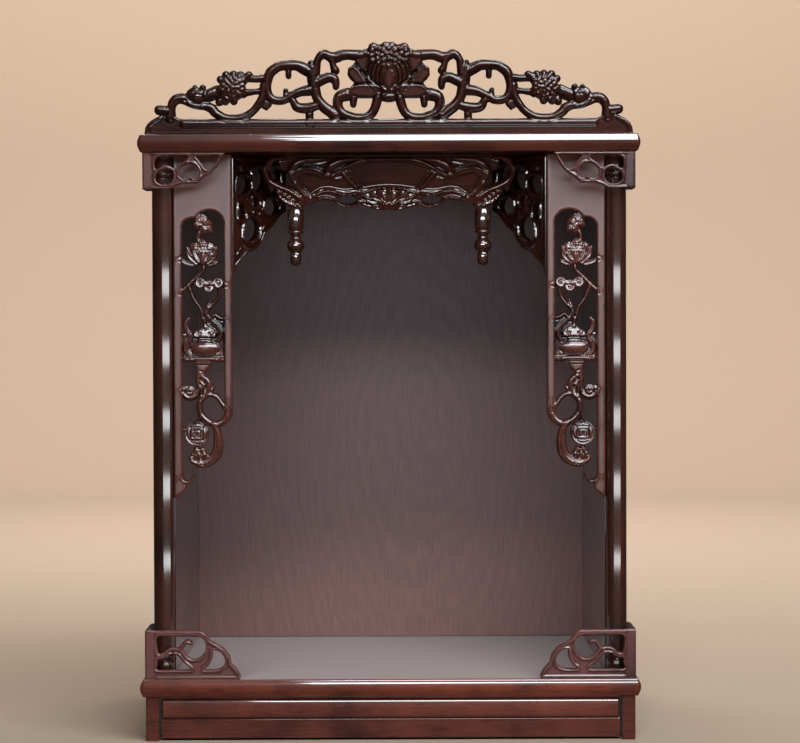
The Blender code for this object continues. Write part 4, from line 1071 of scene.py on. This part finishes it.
def geometry_tree(name, numbers):
    """A Geometry Nodes tree with a mesh in and out, named inputs for sizes and one for its finish."""
    tree = bpy.data.node_groups.new(name, "GeometryNodeTree")
    face = tree.interface
    face.new_socket("Geometry", in_out="INPUT", socket_type="NodeSocketGeometry")
    for label, kind in (*numbers, ("Finish", "NodeSocketMaterial")):
        face.new_socket(label, in_out="INPUT", socket_type=kind)
    face.new_socket("Geometry", in_out="OUTPUT", socket_type="NodeSocketGeometry")
    return tree, tree.nodes.new("NodeGroupInput").outputs


def close_tree(tree, sizes, line, profile, **scale):
    """Ends a tree: a profile is swept along a line, as real mesh with its finish."""
    skin = add_node(tree, "GeometryNodeCurveToMesh", Fill_Caps=True, Curve=line, Profile_Curve=profile,
                    **scale)
    real = add_node(tree, "GeometryNodeRealizeInstances", Geometry=skin.outputs[0])
    done = add_node(tree, "GeometryNodeSetMaterial", Geometry=real.outputs[0], Material=sizes["Finish"])
    end = tree.nodes.new("NodeGroupOutput")
    tree.links.new(done.outputs[0], end.inputs[0])
    return tree


def turning_tree():
    """A turned piece: a round sweeps down the axis, as wide as the girth at each height."""
    tree, sizes = geometry_tree("turned on its axis", [("Sides", "NodeSocketInt")])
    girth = add_node(tree, "GeometryNodeInputNamedAttribute", {"data_type": "FLOAT"}, Name="girth")
    axis = add_node(tree, "GeometryNodeMeshToCurve", Mesh=sizes["Geometry"])
    ring = add_node(tree, "GeometryNodeCurvePrimitiveCircle", {"mode": "RADIUS"}, Resolution=sizes["Sides"],
                    Radius=1.0)
    return close_tree(tree, sizes, axis.outputs[0], ring.outputs[0], Scale=girth.outputs[0])


def moulding_tree():
    """A bar with a softly bulged face and rounded edges, swept along a straight path."""
    labels = ("Depth", "Height", "Rounding", "Bulge")
    tree, sizes = geometry_tree("bulged bar", [(label, "NodeSocketFloat") for label in labels])
    bar = add_node(tree, "GeometryNodeCurvePrimitiveQuadrilateral", {"mode": "RECTANGLE"},
                   Width=sizes["Depth"], Height=sizes["Height"])
    eased = add_node(tree, "GeometryNodeFilletCurve", {"mode": "POLY"}, Count=4, Limit_Radius=True,
                     Curve=bar.outputs[0], Radius=sizes["Rounding"])
    fine = add_node(tree, "GeometryNodeSubdivideCurve", Curve=eased.outputs[0], Cuts=5)
    position = tree.nodes.new("GeometryNodeInputPosition").outputs[0]
    place = add_node(tree, "ShaderNodeSeparateXYZ", Vector=position).outputs
    share = calculated(tree, "DIVIDE", place["Y"], sizes["Height"])
    square = calculated(tree, "MULTIPLY", share, share)  # from 0 in the middle to 0.25 at the edges
    fall = calculated(tree, "MULTIPLY", square, sizes["Bulge"])
    offset = add_node(tree, "ShaderNodeCombineXYZ", X=calculated(tree, "MULTIPLY", fall, -4.0))
    front = add_node(tree, "FunctionNodeCompare", {"operation": "GREATER_THAN"}, A=place["X"])
    bulged = add_node(tree, "GeometryNodeSetPosition", Geometry=fine.outputs[0],
                      Selection=front.outputs[0], Offset=offset.outputs[0])
    path = add_node(tree, "GeometryNodeMeshToCurve", Mesh=sizes["Geometry"])
    return close_tree(tree, sizes, path.outputs[0], bulged.outputs[0])


def line_mesh(name, points, girths=None):
    """A line of points for a tree to work on."""
    mesh = bpy.data.meshes.new(name)
    mesh.from_pydata([tuple(point) for point in points], [(i, i + 1) for i in range(len(points) - 1)], [])
    if girths:
        mesh.attributes.new("girth", "FLOAT", "POINT").data.foreach_set("value", girths)
    return mesh


def grown(name, line, tree, **inputs):
    """The plain mesh that a tree makes from a line."""
    guide = bpy.data.objects.new(name, line)
    bpy.context.scene.collection.objects.link(guide)
    modifier = guide.modifiers.new(tree.name, "NODES")
    modifier.node_group = tree
    for item in tree.interface.items_tree:
        label = item.name.replace(" ", "_")
        if item.in_out == "INPUT" and label in inputs:
            modifier[item.identifier] = inputs[label]
    bpy.context.view_layer.update()
    graph = bpy.context.evaluated_depsgraph_get()
    mesh = bpy.data.meshes.new_from_object(guide.evaluated_get(graph))
    bpy.data.objects.remove(guide)
    with shaping(mesh) as work:
        bmesh.ops.remove_doubles(work, verts=work.verts, dist=1e-6)
        bmesh.ops.recalc_face_normals(work, faces=work.faces)
    mesh.name = name
    return mesh


def bead(top, bottom, inner, outer, steps):
    """Girth and height down a rounded bead."""
    rows = []
    for step in range(steps + 1):
        turn = math.pi * step / steps
        height = (top + bottom) / 2 + (top - bottom) / 2 * math.cos(turn)
        rows.append((inner + (outer - inner) * math.sin(turn), height))
    return rows


def turned(name, rows, tree, finish, node):
    """A turned piece on the axis of a node, from rows of girth and height, in metres."""
    low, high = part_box(node)
    x, y = (low.x + high.x) / 2, (low.y + high.y) / 2
    line = line_mesh(name, [(x, y, height) for _, height in rows], [girth for girth, _ in rows])
    mesh = grown(name, line, tree, Sides=TURNED_SIDES, Finish=finish)
    add_piece(name, mesh, finish, node)


def columns(tree, finish):
    """Round front columns with the same turned foot and cap."""
    for side, _ in SIDES:
        low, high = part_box(f"column_{side}")
        foot = (high.x - low.x) / 2
        middle, half = (low.z + high.z) / 2, (high.z - low.z) / 2
        shaft, groove = foot - 0.3 * MM, foot - 1.9 * MM
        end = [(foot - 0.6 * MM, half), (foot, half - 0.7 * MM), (foot, half - 3.6 * MM),
               (foot - 0.5 * MM, half - 4.1 * MM), (groove, half - 4.6 * MM), (groove, half - 5 * MM)]
        end += bead(half - 5 * MM, half - 18 * MM, groove, foot, 9)[1:]
        end += bead(half - 18 * MM, half - 23 * MM, groove, foot, 6)[1:]
        end += [(groove, half - 23.4 * MM), (shaft - 0.6 * MM, half - 24.2 * MM)]
        end += [(shaft, half - fall * MM) for fall in (25.2, 25.6, 26)]
        rows = end + [(girth, -height) for girth, height in reversed(end)]
        rows = [(girth, middle + height) for girth, height in rows]
        turned(f"column_turned_{side}", rows, tree, finish, f"column_{side}")


def pendants(tree, finish):
    """A drum, a collar, a bead, a ball and a rounded tip. The rows run from the top down, in millimetres."""
    rows = [(6.0, 0), (7.9, -0.2), (8.3, -0.8), (8.3, -19.6), (8.0, -20.5), (7.0, -21.3), (6.8, -21.8)]
    rows += bead(-22, -25.5, 6.8, 8.5, 6)[1:]
    rows += [(5.4, -26.6), (5.0, -28), (5.0, -28.4)]
    rows += bead(-28.5, -31.5, 5.0, 6.0, 5)[1:]
    rows += bead(-31.5, -44, 4.8, 9.0, 12)[1:]
    rows += [(5.1, -44.6), (5.6, -45.5), (5.7, -50), (5.6, -54), (5.1, -56), (4.0, -57.6), (2.2, -58.5),
             (0.1, -58.8)]
    for side, _ in SIDES:
        node = f"pendant_{side}"
        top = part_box(node)[1].z
        profile = [(girth * MM, top + height * MM) for girth, height in rows]
        turned(f"pendant_turned_{side}", profile, tree, finish, node)


def block_mesh(name, low, high, rounded, steps):
    """A block whose edges are rounded."""
    mesh = bpy.data.meshes.new(name)
    with shaping(mesh) as work:
        bmesh.ops.create_cube(work, size=1)
        for vert in work.verts:
            vert.co = (low + high) / 2 + Vector(a * b for a, b in zip(vert.co, high - low))
        bmesh.ops.bevel(work, geom=work.edges[:], offset=rounded, segments=steps, profile=0.5,
                        affect="EDGES")
    return mesh


def block(name, finish, node, rounded, steps=4):
    """A rounded block in the place of a node."""
    low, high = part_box(node)
    add_piece(name, block_mesh(name, low, high, rounded, steps), finish, node, flat_from=BLOCK_FACE)


def edge_profile(height):
    """A slab's moulded edge, from top to bottom: how far it is set in, and the height from the middle."""
    half = height / 2
    rows = []
    for step in range(EDGE_STEPS + 1):
        turn = math.pi / 2 * step / EDGE_STEPS
        rows.append((BULGE + EASED * (1 - math.sin(turn)), half - EASED * (1 - math.cos(turn))))
    flat = half - EASED
    for step in reversed(range(EDGE_STEPS)):
        rows.append((BULGE * (step / EDGE_STEPS) ** 2, flat * step / EDGE_STEPS))
    return rows + [(inset, -height) for inset, height in reversed(rows[:-1])]


def slab_mesh(name, low, high):
    """A slab with the same moulded edge all round, its corners slightly rounded in plan."""
    middle = (low.z + high.z) / 2
    profile = edge_profile(high.z - low.z)
    around = 4 * (EDGE_STEPS + 1)
    points = []
    for inset, height in profile:
        radius = max(SLAB_CORNER - inset, 0.3 * MM)
        for number in range(around):
            quarter, step = divmod(number, EDGE_STEPS + 1)
            turn = math.pi / 2 * (quarter + step / EDGE_STEPS)
            side_x, side_y = (1, -1, -1, 1)[quarter], (1, 1, -1, -1)[quarter]
            x = (high.x - inset - radius) * side_x + radius * math.cos(turn)
            y = (high.y - inset - radius) * side_y + radius * math.sin(turn)
            points.append((x, y, middle + height))
    faces = []
    for ring in range(len(profile) - 1):
        for number in range(around):
            a, b = ring * around + number, ring * around + (number + 1) % around
            faces.append((a, a + around, b + around, b))
    faces.append(tuple(range(around)))
    faces.append(tuple(reversed(range(len(points) - around, len(points)))))
    mesh = bpy.data.meshes.new(name)
    mesh.from_pydata(points, [], faces)
    return mesh


def slabs(finish, floor_finish):
    """The roof and base slabs. The top of the base slab, the niche's floor, has a finish of its own."""
    for node in ("base_slab", "roof_slab"):
        mesh = slab_mesh(node, *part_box(node))
        piece = add_piece(f"{node}_moulded", mesh, finish, node, flat_from=SLAB_FACE)
        if node == "base_slab":
            piece.data.materials.append(floor_finish)
            for face in piece.data.polygons:
                face.material_index = int(face.normal.z > 0.99 and face.area > SLAB_FACE)


def strip_mesh(name, profile, length, middle, outward):
    """A moulding of a constant profile, given as points of how far it stands out and its height."""
    outward, up = Vector(outward), Vector((0, 0, 1))
    along = outward.cross(up)
    ends = []
    for end in (-length / 2, length / 2):
        ends.append([Vector(middle) + outward * out + up * height + along * end for out, height in profile])
    count = len(profile)
    sides = [(i, (i + 1) % count, (i + 1) % count + count, i + count) for i in range(count)]
    mesh = bpy.data.meshes.new(name)
    mesh.from_pydata([tuple(p) for p in ends[0] + ends[1]], [],
                     sides + [tuple(range(count))[::-1], tuple(range(count, 2 * count))])
    with shaping(mesh) as work:
        bmesh.ops.recalc_face_normals(work, faces=work.faces)
    return mesh


def rounded_profile(corners, steps=4):
    """A profile from corners of how far it stands out, its height, and the radius that rounds it there."""
    rows = []
    for before, here, after in zip(corners[-1:] + corners[:-1], corners, corners[1:] + corners[:1]):
        point, radius = Vector(here[:2]), here[2]
        if not radius:
            rows.append(tuple(point))
            continue
        a = point + (Vector(before[:2]) - point).normalized() * radius
        b = point + (Vector(after[:2]) - point).normalized() * radius
        for step in range(steps + 1):
            t = step / steps
            rows.append(tuple(a * (1 - t) ** 2 + point * 2 * t * (1 - t) + b * t**2))
    return rows


def plinth(tree, finish):
    """Aprons with a rebate, the round-nosed waist mouldings in it, and the corner posts."""
    outwards = {"front": (0, -1, 0), "left": (-1, 0, 0), "right": (1, 0, 0), "back": (0, 1, 0)}
    for side, outward in outwards.items():
        node = f"apron_{side}"
        low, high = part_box(node)
        axis = 1 if outward[1] else 0
        length = (high - low)[1 - axis]
        face = low[axis] if sum(outward) < 0 else high[axis]
        thick = (high - low)[axis]
        middle = (0, face, 0) if axis else (face, 0, 0)
        profile = [(-thick, low.z, 0), (0, low.z, 1.6 * MM), (0, APRON_STEP, 1.4 * MM),
                   (-APRON_REBATE, APRON_STEP, 0), (-APRON_REBATE, high.z, 0), (-thick, high.z, 0)]
        if side == "back":
            profile = [(-thick, low.z, 0), (0, low.z, 1 * MM), (0, high.z, 0), (-thick, high.z, 0)]
        mesh = strip_mesh(node, rounded_profile(profile), length, middle, outward)
        add_piece(f"apron_moulded_{side}", mesh, finish, node, flat_from=APRON_FACE)
        if side == "back":
            continue
        node = f"waist_{side}"
        low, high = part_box(node)
        half = (high.z - low.z) / 2
        centre = (low[axis] + high[axis]) / 2
        ends = []
        for end in (low, high) if side != "right" else (high, low):
            point = [0, 0, low.z + half]
            point[axis], point[1 - axis] = centre, end[1 - axis]
            ends.append(point)
        line = line_mesh(node, ends)
        mesh = grown(node, line, tree, Depth=(high - low)[axis], Height=2 * half, Rounding=EASED,
                     Bulge=BULGE, Finish=finish)
        add_piece(f"waist_moulding_{side}", mesh, finish, node)
    for corner in ("fl", "fr", "bl", "br"):
        block(f"foot_post_planed_{corner}", finish, f"foot_post_{corner}", 1.3 * MM)


def case(finish, panel_finish):
    """Side panels, rear posts and the back panel."""
    for side, _ in SIDES:
        block(f"side_panel_planed_{side}", finish, f"side_panel_{side}", 0.6 * MM, 2)
        block(f"rear_post_planed_{side}", finish, f"rear_post_{side}", 1.8 * MM)
    low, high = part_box("back_panel")
    tongue = Vector((PANEL_TONGUE, 0, 0))
    panel = block_mesh("back_panel_planed", low - tongue, high + tongue, 0.5 * MM, 2)
    add_piece("back_panel_planed", panel, panel_finish, "back_panel", slot="lacquered_panel",
              flat_from=BLOCK_FACE)


# ---------------------------------------------------------------- finishes


DEEP, WARM = "#1b0a07", "#4c2217"  # the lacquered wood where it is darkest and lightest
# A pale dust colour that also paints in the sheen the niche floor shows at a grazing view.
DUST_AND_SHEEN = "#452b26"
# Painted shade: the creases' colour is multiplied down to this.
CREASE_SHADE = (0.16, 0.13, 0.13, 1)  # what is left of the colour in the creases
LACQUER_IOR, COAT_IOR = 1.52, 1.9
PORE_DEPTH = 0.0006
KNOT = (0.036, 0.29)  # the heart of the back panel's figure


def colour(hex_code):
    """An sRGB hex colour as linear numbers."""
    values = [int(hex_code[i:i + 2], 16) / 255 for i in (1, 3, 5)]
    return (*(v / 12.92 if v <= 0.04045 else ((v + 0.055) / 1.055) ** 2.4 for v in values), 1)


def ramp(tree, factor, *stops):
    """A colour ramp with stops of place and colour."""
    node = add_node(tree, "ShaderNodeValToRGB", Fac=factor)
    elements = node.color_ramp.elements
    while len(elements) < len(stops):
        elements.new(0.5)
    for element, (place, hex_code) in zip(elements, stops):
        element.position, element.color = place, colour(hex_code)
    return node.outputs["Color"]


def finish_shell(name, roughness, gloss=1.0, coat=0.0, dust=0.0):
    """A new material, its node tree, its shader's inputs, and the place of a point on the piece."""
    made = bpy.data.materials.new(name)
    made.use_nodes = True
    tree = made.node_tree
    shader = tree.nodes["Principled BSDF"].inputs
    for socket, value in (("IOR", LACQUER_IOR), ("Roughness", roughness), ("Specular IOR Level", gloss),
                          ("Coat Weight", coat), ("Coat Roughness", 0.05), ("Coat IOR", COAT_IOR),
                          ("Sheen Weight", dust), ("Sheen Roughness", 0.4)):
        shader[socket].default_value = value
    return made, tree, shader, add_node(tree, "ShaderNodeTexCoord").outputs["Object"]


def grain(tree, place, along, width_mm, stretch=14):
    """Fine straight grain: noise that is drawn out along the board."""
    scale = [1000 / width_mm] * 3
    scale[along] /= stretch
    drawn = add_node(tree, "ShaderNodeMapping", Vector=place, Scale=scale).outputs[0]
    noise = add_node(tree, "ShaderNodeTexNoise", Vector=drawn, Scale=1.0, Detail=5.0, Roughness=0.6)
    return noise.outputs["Fac"]


def bump(tree, height, strength, distance):
    """A normal that follows a height."""
    made = add_node(tree, "ShaderNodeBump", Height=height, Strength=strength, Distance=distance)
    return made.outputs[0]


def blended(tree, kind, share, base, over):
    """One colour blended over another."""
    mix = add_node(tree, "ShaderNodeMixRGB", {"blend_type": kind}, Fac=share, Color1=base, Color2=over)
    return mix.outputs[0]


def measured(tree, name):
    """A measure that the mesh carries at each point."""
    return add_node(tree, "ShaderNodeAttribute", {"attribute_name": name}).outputs["Fac"]


def ranged(tree, factor, low, high):
    """A value that runs from low to high as the factor runs from 0 to 1."""
    return add_node(tree, "ShaderNodeMapRange", Value=factor, To_Min=low, To_Max=high).outputs["Result"]


def lacquered_wood(tree, shader, place, along, dark, light, crowned=0.0):
    """Gives a shader the fine grain of the wood under its lacquer. Returns the wood's colour and grain.

    Where a crowned share is given, the wood is lighter on the high parts of the carving.
    """
    fibres = grain(tree, place, along, 1.3)
    clouds = add_node(tree, "ShaderNodeTexNoise", Vector=place, Scale=14.0, Detail=3.0, Roughness=0.55)
    mixed = calculated(tree, "MULTIPLY_ADD", fibres, 0.55, clouds.outputs["Fac"])
    lifted = calculated(tree, "MULTIPLY_ADD", measured(tree, "crown"), crowned, mixed)
    middle = 0.78 + 0.7 * crowned
    wood = ramp(tree, lifted, (middle - 0.3, dark), (min(middle + 0.3, 1), light))
    feed(tree, shader["Normal"], bump(tree, fibres, 0.06, PORE_DEPTH))
    return wood, fibres


def gloss_lacquer(name, along, dark=DEEP, light=WARM):
    """Close-grained hardwood under many coats of dark red-brown lacquer, rubbed to a gloss.

    The eye sees a near-black ground that warms to red where light reaches the wood, faint grain, and
    mirror-like lights that ripple a little over a softer sheen.
    """
    made, tree, shader, place = finish_shell(name, 0.4, gloss=0.2, coat=1.0)
    wood, _ = lacquered_wood(tree, shader, place, along, dark, light)
    feed(tree, shader["Base Color"], wood)
    ripple = add_node(tree, "ShaderNodeTexNoise", Vector=place, Scale=30.0, Detail=1.0)
    feed(tree, shader["Coat Normal"], bump(tree, ripple.outputs["Fac"], 0.012, 0.002))
    return made


def carved_lacquer(name, along, dark=DEEP, light=WARM, satin=0.58, polish=0.12, carved_tone=0.95):
    """The same lacquer on carved boards: satin where they are flat, polished round the carving.

    The eye sees quiet grey sheen on the flats, sharp small lights on every ridge and seed, and painted shade
    that lies dark in the creases. Satin and polish are the two roughnesses, and a tone below 1 darkens the
    colour round the carving.
    """
    made, tree, shader, place = finish_shell(name, satin, gloss=0.8)
    wood, fibres = lacquered_wood(tree, shader, place, along, dark, light, crowned=0.25)
    worked = measured(tree, "worked")
    # Darker colour round the carving, by a tone below 1.
    carved_toned = blended(tree, "MULTIPLY", worked, wood, (carved_tone, carved_tone * 1.15, carved_tone * 1.15, 1))
    # Painted shade: the colour is darkened in the creases.
    crease_shaded = blended(tree, "MULTIPLY", measured(tree, "sunk"), carved_toned, CREASE_SHADE)
    feed(tree, shader["Base Color"], crease_shaded)
    polished = ranged(tree, worked, satin, polish)
    feed(tree, shader["Roughness"], calculated(tree, "MULTIPLY_ADD", fibres, 0.1, polished))
    return made


def floor_lacquer(name, along):
    """The niche's floor: the gloss dulled to satin where things stand and dust lies.

    The eye sees an even pinkish grey sheen over a trace of the grain. Its pale pink-grey colour is partly
    dust and partly painted sheen, in place of the floor's grazing reflection.
    """
    made, tree, shader, place = finish_shell(name, 0.5, dust=0.25)
    wood, _ = lacquered_wood(tree, shader, place, along, DEEP, WARM)
    # Mostly the dust-and-sheen colour: painted sheen as well as dust.
    feed(tree, shader["Base Color"], blended(tree, "MIX", 0.85, wood, colour(DUST_AND_SHEEN)))
    return made


def panel_lacquer(name):
    """A wide flat-sawn board under satin lacquer: cathedral grain round a knot-like heart.

    The eye sees long nested arches and an oval, soft and brown on brown, with an even sheen.
    """
    made, tree, shader, place = finish_shell(name, 0.5)
    (x, z), squeeze = KNOT, 0.42
    centred = add_node(tree, "ShaderNodeMapping", Vector=place, Location=(-x, 0, -z * squeeze),
                       Scale=(1.0, 0.25, squeeze)).outputs[0]
    warp = add_node(tree, "ShaderNodeTexNoise", Vector=centred, Scale=11.0, Detail=4.0)
    pushed = blended(tree, "LINEAR_LIGHT", 0.03, centred, warp.outputs["Color"])
    waves = {"wave_type": "RINGS", "rings_direction": "Y", "wave_profile": "SIN"}
    rings = add_node(tree, "ShaderNodeTexWave", waves, Vector=pushed, Scale=26.0, Distortion=3.0, Detail=4.0,
                     Detail_Scale=3.0)
    fibres = grain(tree, place, 2, 1.0, stretch=30)
    mixed = calculated(tree, "MULTIPLY_ADD", rings.outputs["Fac"], 0.07, fibres)
    wood = ramp(tree, mixed, (0.3, "#6b4238"), (0.55, "#57342c"), (0.85, "#3f241e"))
    feed(tree, shader["Base Color"], wood)
    feed(tree, shader["Roughness"], ranged(tree, mixed, 0.46, 0.6))
    feed(tree, shader["Normal"], bump(tree, fibres, 0.12, PORE_DEPTH))
    return made


# ---------------------------------------------------------------- stage, lights and camera


STAGE_COLOUR = "#a8937f"
STAGE_REACH = 3.9  # from the cabinet to the wall of the stage, m
STAGE_BEND = 0.9
STAGE_HEIGHT = 3.6


def stage_floor():
    """A pale round floor that sweeps up into a plain wall all the way round."""
    rows, bend_steps = [(0.0, 0.0)], 12
    for step in range(bend_steps + 1):
        turn = math.pi / 2 * step / bend_steps
        rows.append((STAGE_REACH - STAGE_BEND * (1 - math.sin(turn)), STAGE_BEND * (1 - math.cos(turn))))
    rows.append((STAGE_REACH, STAGE_HEIGHT))
    mesh = bpy.data.meshes.new("studio_sweep")
    with shaping(mesh) as work:
        profile = [work.verts.new((out, 0, z)) for out, z in rows]
        for a, b in zip(profile, profile[1:]):
            work.edges.new((a, b))
        bmesh.ops.spin(work, geom=work.verts[:] + work.edges[:], cent=(0, 0, 0), axis=(0, 0, 1),
                       angle=math.tau, steps=96, use_merge=True)
        bmesh.ops.remove_doubles(work, verts=work.verts, dist=1e-5)
        bmesh.ops.recalc_face_normals(work, faces=work.faces)
    mesh.shade_smooth()
    paper = bpy.data.materials.new("pale studio paper")
    paper.use_nodes = True
    shader = paper.node_tree.nodes["Principled BSDF"].inputs
    shader["Base Color"].default_value = colour(STAGE_COLOUR)
    shader["Roughness"].default_value = 0.9
    mesh.materials.append(paper)
    sweep = bpy.data.objects.new("studio_sweep", mesh)
    bpy.context.scene.collection.objects.link(sweep)
    sweep.visible_glossy = False  # the lacquer mirrors the boxes and not the paper


def light_box(name, place, target, size, radiance, tint, *starts):
    """A flat light of a given radiance. Starts of names, where given, say which pieces it lights."""
    light = bpy.data.lights.new(name, "AREA")
    light.shape = "RECTANGLE"
    light.size, light.size_y = size
    light.energy = radiance * math.pi * size[0] * size[1]
    light.color = tint
    lamp = bpy.data.objects.new(name, light)
    lamp.location = place
    lamp.rotation_euler = (Vector(target) - Vector(place)).to_track_quat("-Z", "Y").to_euler()
    lamp.visible_camera = False
    bpy.context.scene.collection.objects.link(lamp)
    if starts:
        lit = bpy.data.collections.new(f"lit by the {name}")
        for piece in bpy.context.scene.objects:
            if piece.type == "MESH" and piece.name.startswith(starts):
                lit.objects.link(piece)
        lamp.light_linking.receiver_collection = lit
    return lamp


WHITE, COOL = (1, 1, 1), (0.94, 1.0, 1.05)
HIGH, NICHE = (0.35, -0.2, 0.4), (0.2, 0.13, 0.12)  # where lights are aimed
FRONT = (0.66, -1.38, 1.40)
LONG, STRIP, LOW = (1.9, 0.30), (1.9, 0.08), (2.0, 0.2)  # sizes of lights
OVERHEAD, BELOW = (0.4, -1.13, 2.07), (0.1, -1.30, 0.15)
# Name, place, target, size, radiance, tint and the pieces lit: all of them where none is named.
LIGHT_BOXES = (
    ("high box", (0.70, -1.10, 2.20), HIGH, LONG, 16, COOL),
    ("front box", FRONT, HIGH, LONG, 12, COOL, "base", "roof", "waist", "apron", "foot", "column", "fret",
     "rail", "canopy", "wing", "pendant", "side", "rear", "studio"),
    ("panel box", (0.0, -1.38, 1.40), (0.0, -0.2, 0.4), (2.2, 0.30), 13, COOL, "back_panel"),
    ("top box", (0.0, -0.3, 2.4), (0.0, -0.1, 0.4), (2.2, 1.4), 0.6, WHITE),
    ("rear box", (0.0, 2.2, 2.2), (0.0, 0.2, 0.3), (2.4, 1.0), 1.0, WHITE),
    ("wall box", (0.0, 1.3, 2.7), (0.0, 3.9, 0.6), (2.4, 0.6), 36, WHITE),
    ("cool screen", (0.2, -1.70, 0.33), (0.2, 0, 0.33), (2.6, 0.64), 1.9, (0.86, 0.92, 1.05),
     "back_panel", "side_panel"),
    ("relief box", FRONT, HIGH, LONG, 10, (0.92, 1.0, 1.1), "fret_board", "roof_bracket", "rail_bracket"),
    ("relief sparkle", (0.20, -1.45, 1.02), (0.1, -0.2, 0.3), (2.2, 0.34), 12, (0.94, 1.0, 1.06),
     "fret_board"),
    ("crest box", (0.3, -1.38, 1.50), (0.1, -0.15, 0.66), (2.2, 0.08), 24, WHITE, "crest"),
    ("crest screen", (0.0, -1.70, 0.92), (0.0, -0.15, 0.68), (1.8, 0.24), 0.35, (1.3, 0.9, 0.85), "crest"),
    ("band box", FRONT, HIGH, (1.9, 0.42), 20, COOL, "base_slab", "waist"),
    ("niche strip", OVERHEAD, NICHE, STRIP, 215, (0.86, 1.0, 1.1), "back_panel"),
    ("floor strip", OVERHEAD, NICHE, STRIP, 18, WHITE, "base_slab"),
    ("low fill", BELOW, (0.1, -0.15, 0.15), LOW, 26, WHITE, "base_slab"),
    ("plinth fill", BELOW, (0.1, -0.15, 0.15), LOW, 26, (0.86, 1.15, 1.45), "waist", "apron", "foot_post"),
    ("soft fill", (0.4, -1.90, 0.35), (0.1, -0.15, 0.35), (2.0, 0.5), 7, WHITE, "rail_bracket", "canopy",
     "column", "roof_slab", "pendant", "fret_board"),
    ("canopy glint", (0.0, -1.60, 0.80), (0.0, -0.1, 0.55), (1.4, 0.18), 24, WHITE, "canopy", "pendant",
     "wing"),
    ("roof band", (0.62, -1.26, 1.86), (0.30, -0.2, 0.6), (1.9, 0.5), 11, COOL, "roof_slab"),
)
MIRRORED_ONLY = ("relief sparkle", "crest box", "canopy glint", "roof band")
NEVER_MIRRORED = ("niche strip", "floor strip", "low fill", "plinth fill", "soft fill")

TUBE_REACH = 1.51  # from a column, in m
TUBES = ((0.493, 0.046), (0.372, 0.041), (0.258, 0.034), (0.143, 0.039), (0.016, 0.029))  # z and height
TUBE_RADIANCE = 6


def column_tubes(side, middle, spread):
    """Five tubes one over another, bent round a column in three pieces, that light that column alone."""
    low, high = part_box(f"column_{side}")
    axis = (low + high) / 2
    share = math.radians(spread) / 3
    width = 2 * TUBE_REACH * math.tan(share / 2)
    for number in range(3):
        turn = math.radians(middle) + (number - 1) * share
        x, y = axis.x + TUBE_REACH * math.sin(turn), axis.y - TUBE_REACH * math.cos(turn)
        for row, (z, height) in enumerate(TUBES):
            light_box(f"tube {side} {row} {number}", (x, y, z), (axis.x, axis.y, z), (width, height),
                      TUBE_RADIANCE, WHITE, f"column_turned_{side}")


def lights():
    """Soft studio light: boxes in front and above, fills near the floor, and tubes for the columns."""
    scene = bpy.context.scene
    scene.view_settings.view_transform = "Standard"
    scene.world = bpy.data.worlds.new("studio air")
    scene.world.use_nodes = True
    air = scene.world.node_tree.nodes["Background"].inputs
    air["Color"].default_value = (1.0, 1.0, 1.0, 1)
    air["Strength"].default_value = 0.03
    for row in LIGHT_BOXES:
        lamp = light_box(*row)
        lamp.visible_diffuse = lamp.name not in MIRRORED_ONLY
        lamp.visible_glossy = lamp.name not in NEVER_MIRRORED
    column_tubes("left", 44, 84)
    column_tubes("right", 4, 76)


CAMERA_PLACE = (0.0039, -2.2995, 0.4129)
CAMERA_ANGLES = (1.148, 0.173, -0.188)  # pitch, yaw and roll in degrees


def camera():
    """The camera stands a little over two metres in front, a little higher than the middle of the niche."""
    made = bpy.data.cameras.new("camera")
    made.lens, made.sensor_width = 96.39, 36
    view = bpy.data.objects.new("camera", made)
    pitch, yaw, roll = (math.radians(angle) for angle in CAMERA_ANGLES)
    right = Vector((math.cos(yaw), -math.sin(yaw), 0))
    ahead = Vector((math.sin(yaw), math.cos(yaw), 0))
    forward = ahead * math.cos(pitch) - Vector((0, 0, 1)) * math.sin(pitch)
    up = Vector((0, 0, 1)) * math.cos(pitch) + ahead * math.sin(pitch)
    across = right * math.cos(roll) + up * math.sin(roll)
    upright = up * math.cos(roll) - right * math.sin(roll)
    turn = Matrix((across, upright, -forward)).transposed().to_4x4()
    view.matrix_world = Matrix.Translation(CAMERA_PLACE) @ turn
    bpy.context.scene.collection.objects.link(view)
    bpy.context.scene.camera = view


# ---------------------------------------------------------------- the cabinet

POLISHED = {"dark": "#150906", "satin": 0.16}
ACROSS = gloss_lacquer("gloss lacquer, grain across", 0)
BOARDS = gloss_lacquer("gloss lacquer on wide boards", 2, dark="#27100b", light="#3d1b13")
# The turned work's darker colours are painted shade: the same lacquer, darkened because the columns' sides
# turn away from the light.
TURNED_SHADED = gloss_lacquer("gloss lacquer on turned work", 2, dark="#140806", light="#38190f")
PLATES = carved_lacquer("lacquer on the corner brackets", 0, light="#573330", satin=0.4, polish=0.16)
UPRIGHT = carved_lacquer("lacquer on carving, grain upright", 2, dark="#1c0d0a", light="#4a251d")
CREST = carved_lacquer("polished lacquer on the crest", 0, light="#5c2c22", carved_tone=0.72, **POLISHED)
HOOD = carved_lacquer("polished lacquer on canopy and wings", 0, light="#40190f", polish=0.10, carved_tone=0.8,
                      **POLISHED)
FLOOR = floor_lacquer("dusty lacquer on the niche floor", 0)
PANEL = panel_lacquer("satin lacquer on the back panel")
TURNING = turning_tree()
MOULDING = moulding_tree()

slabs(ACROSS, FLOOR)
plinth(MOULDING, ACROSS)
columns(TURNING, TURNED_SHADED)
pendants(TURNING, TURNED_SHADED)
case(BOARDS, PANEL)
crest(CREST)
fret_boards(UPRIGHT)
brackets(PLATES)
canopy(HOOD)
wings(HOOD)
stage_floor()
lights()
camera()
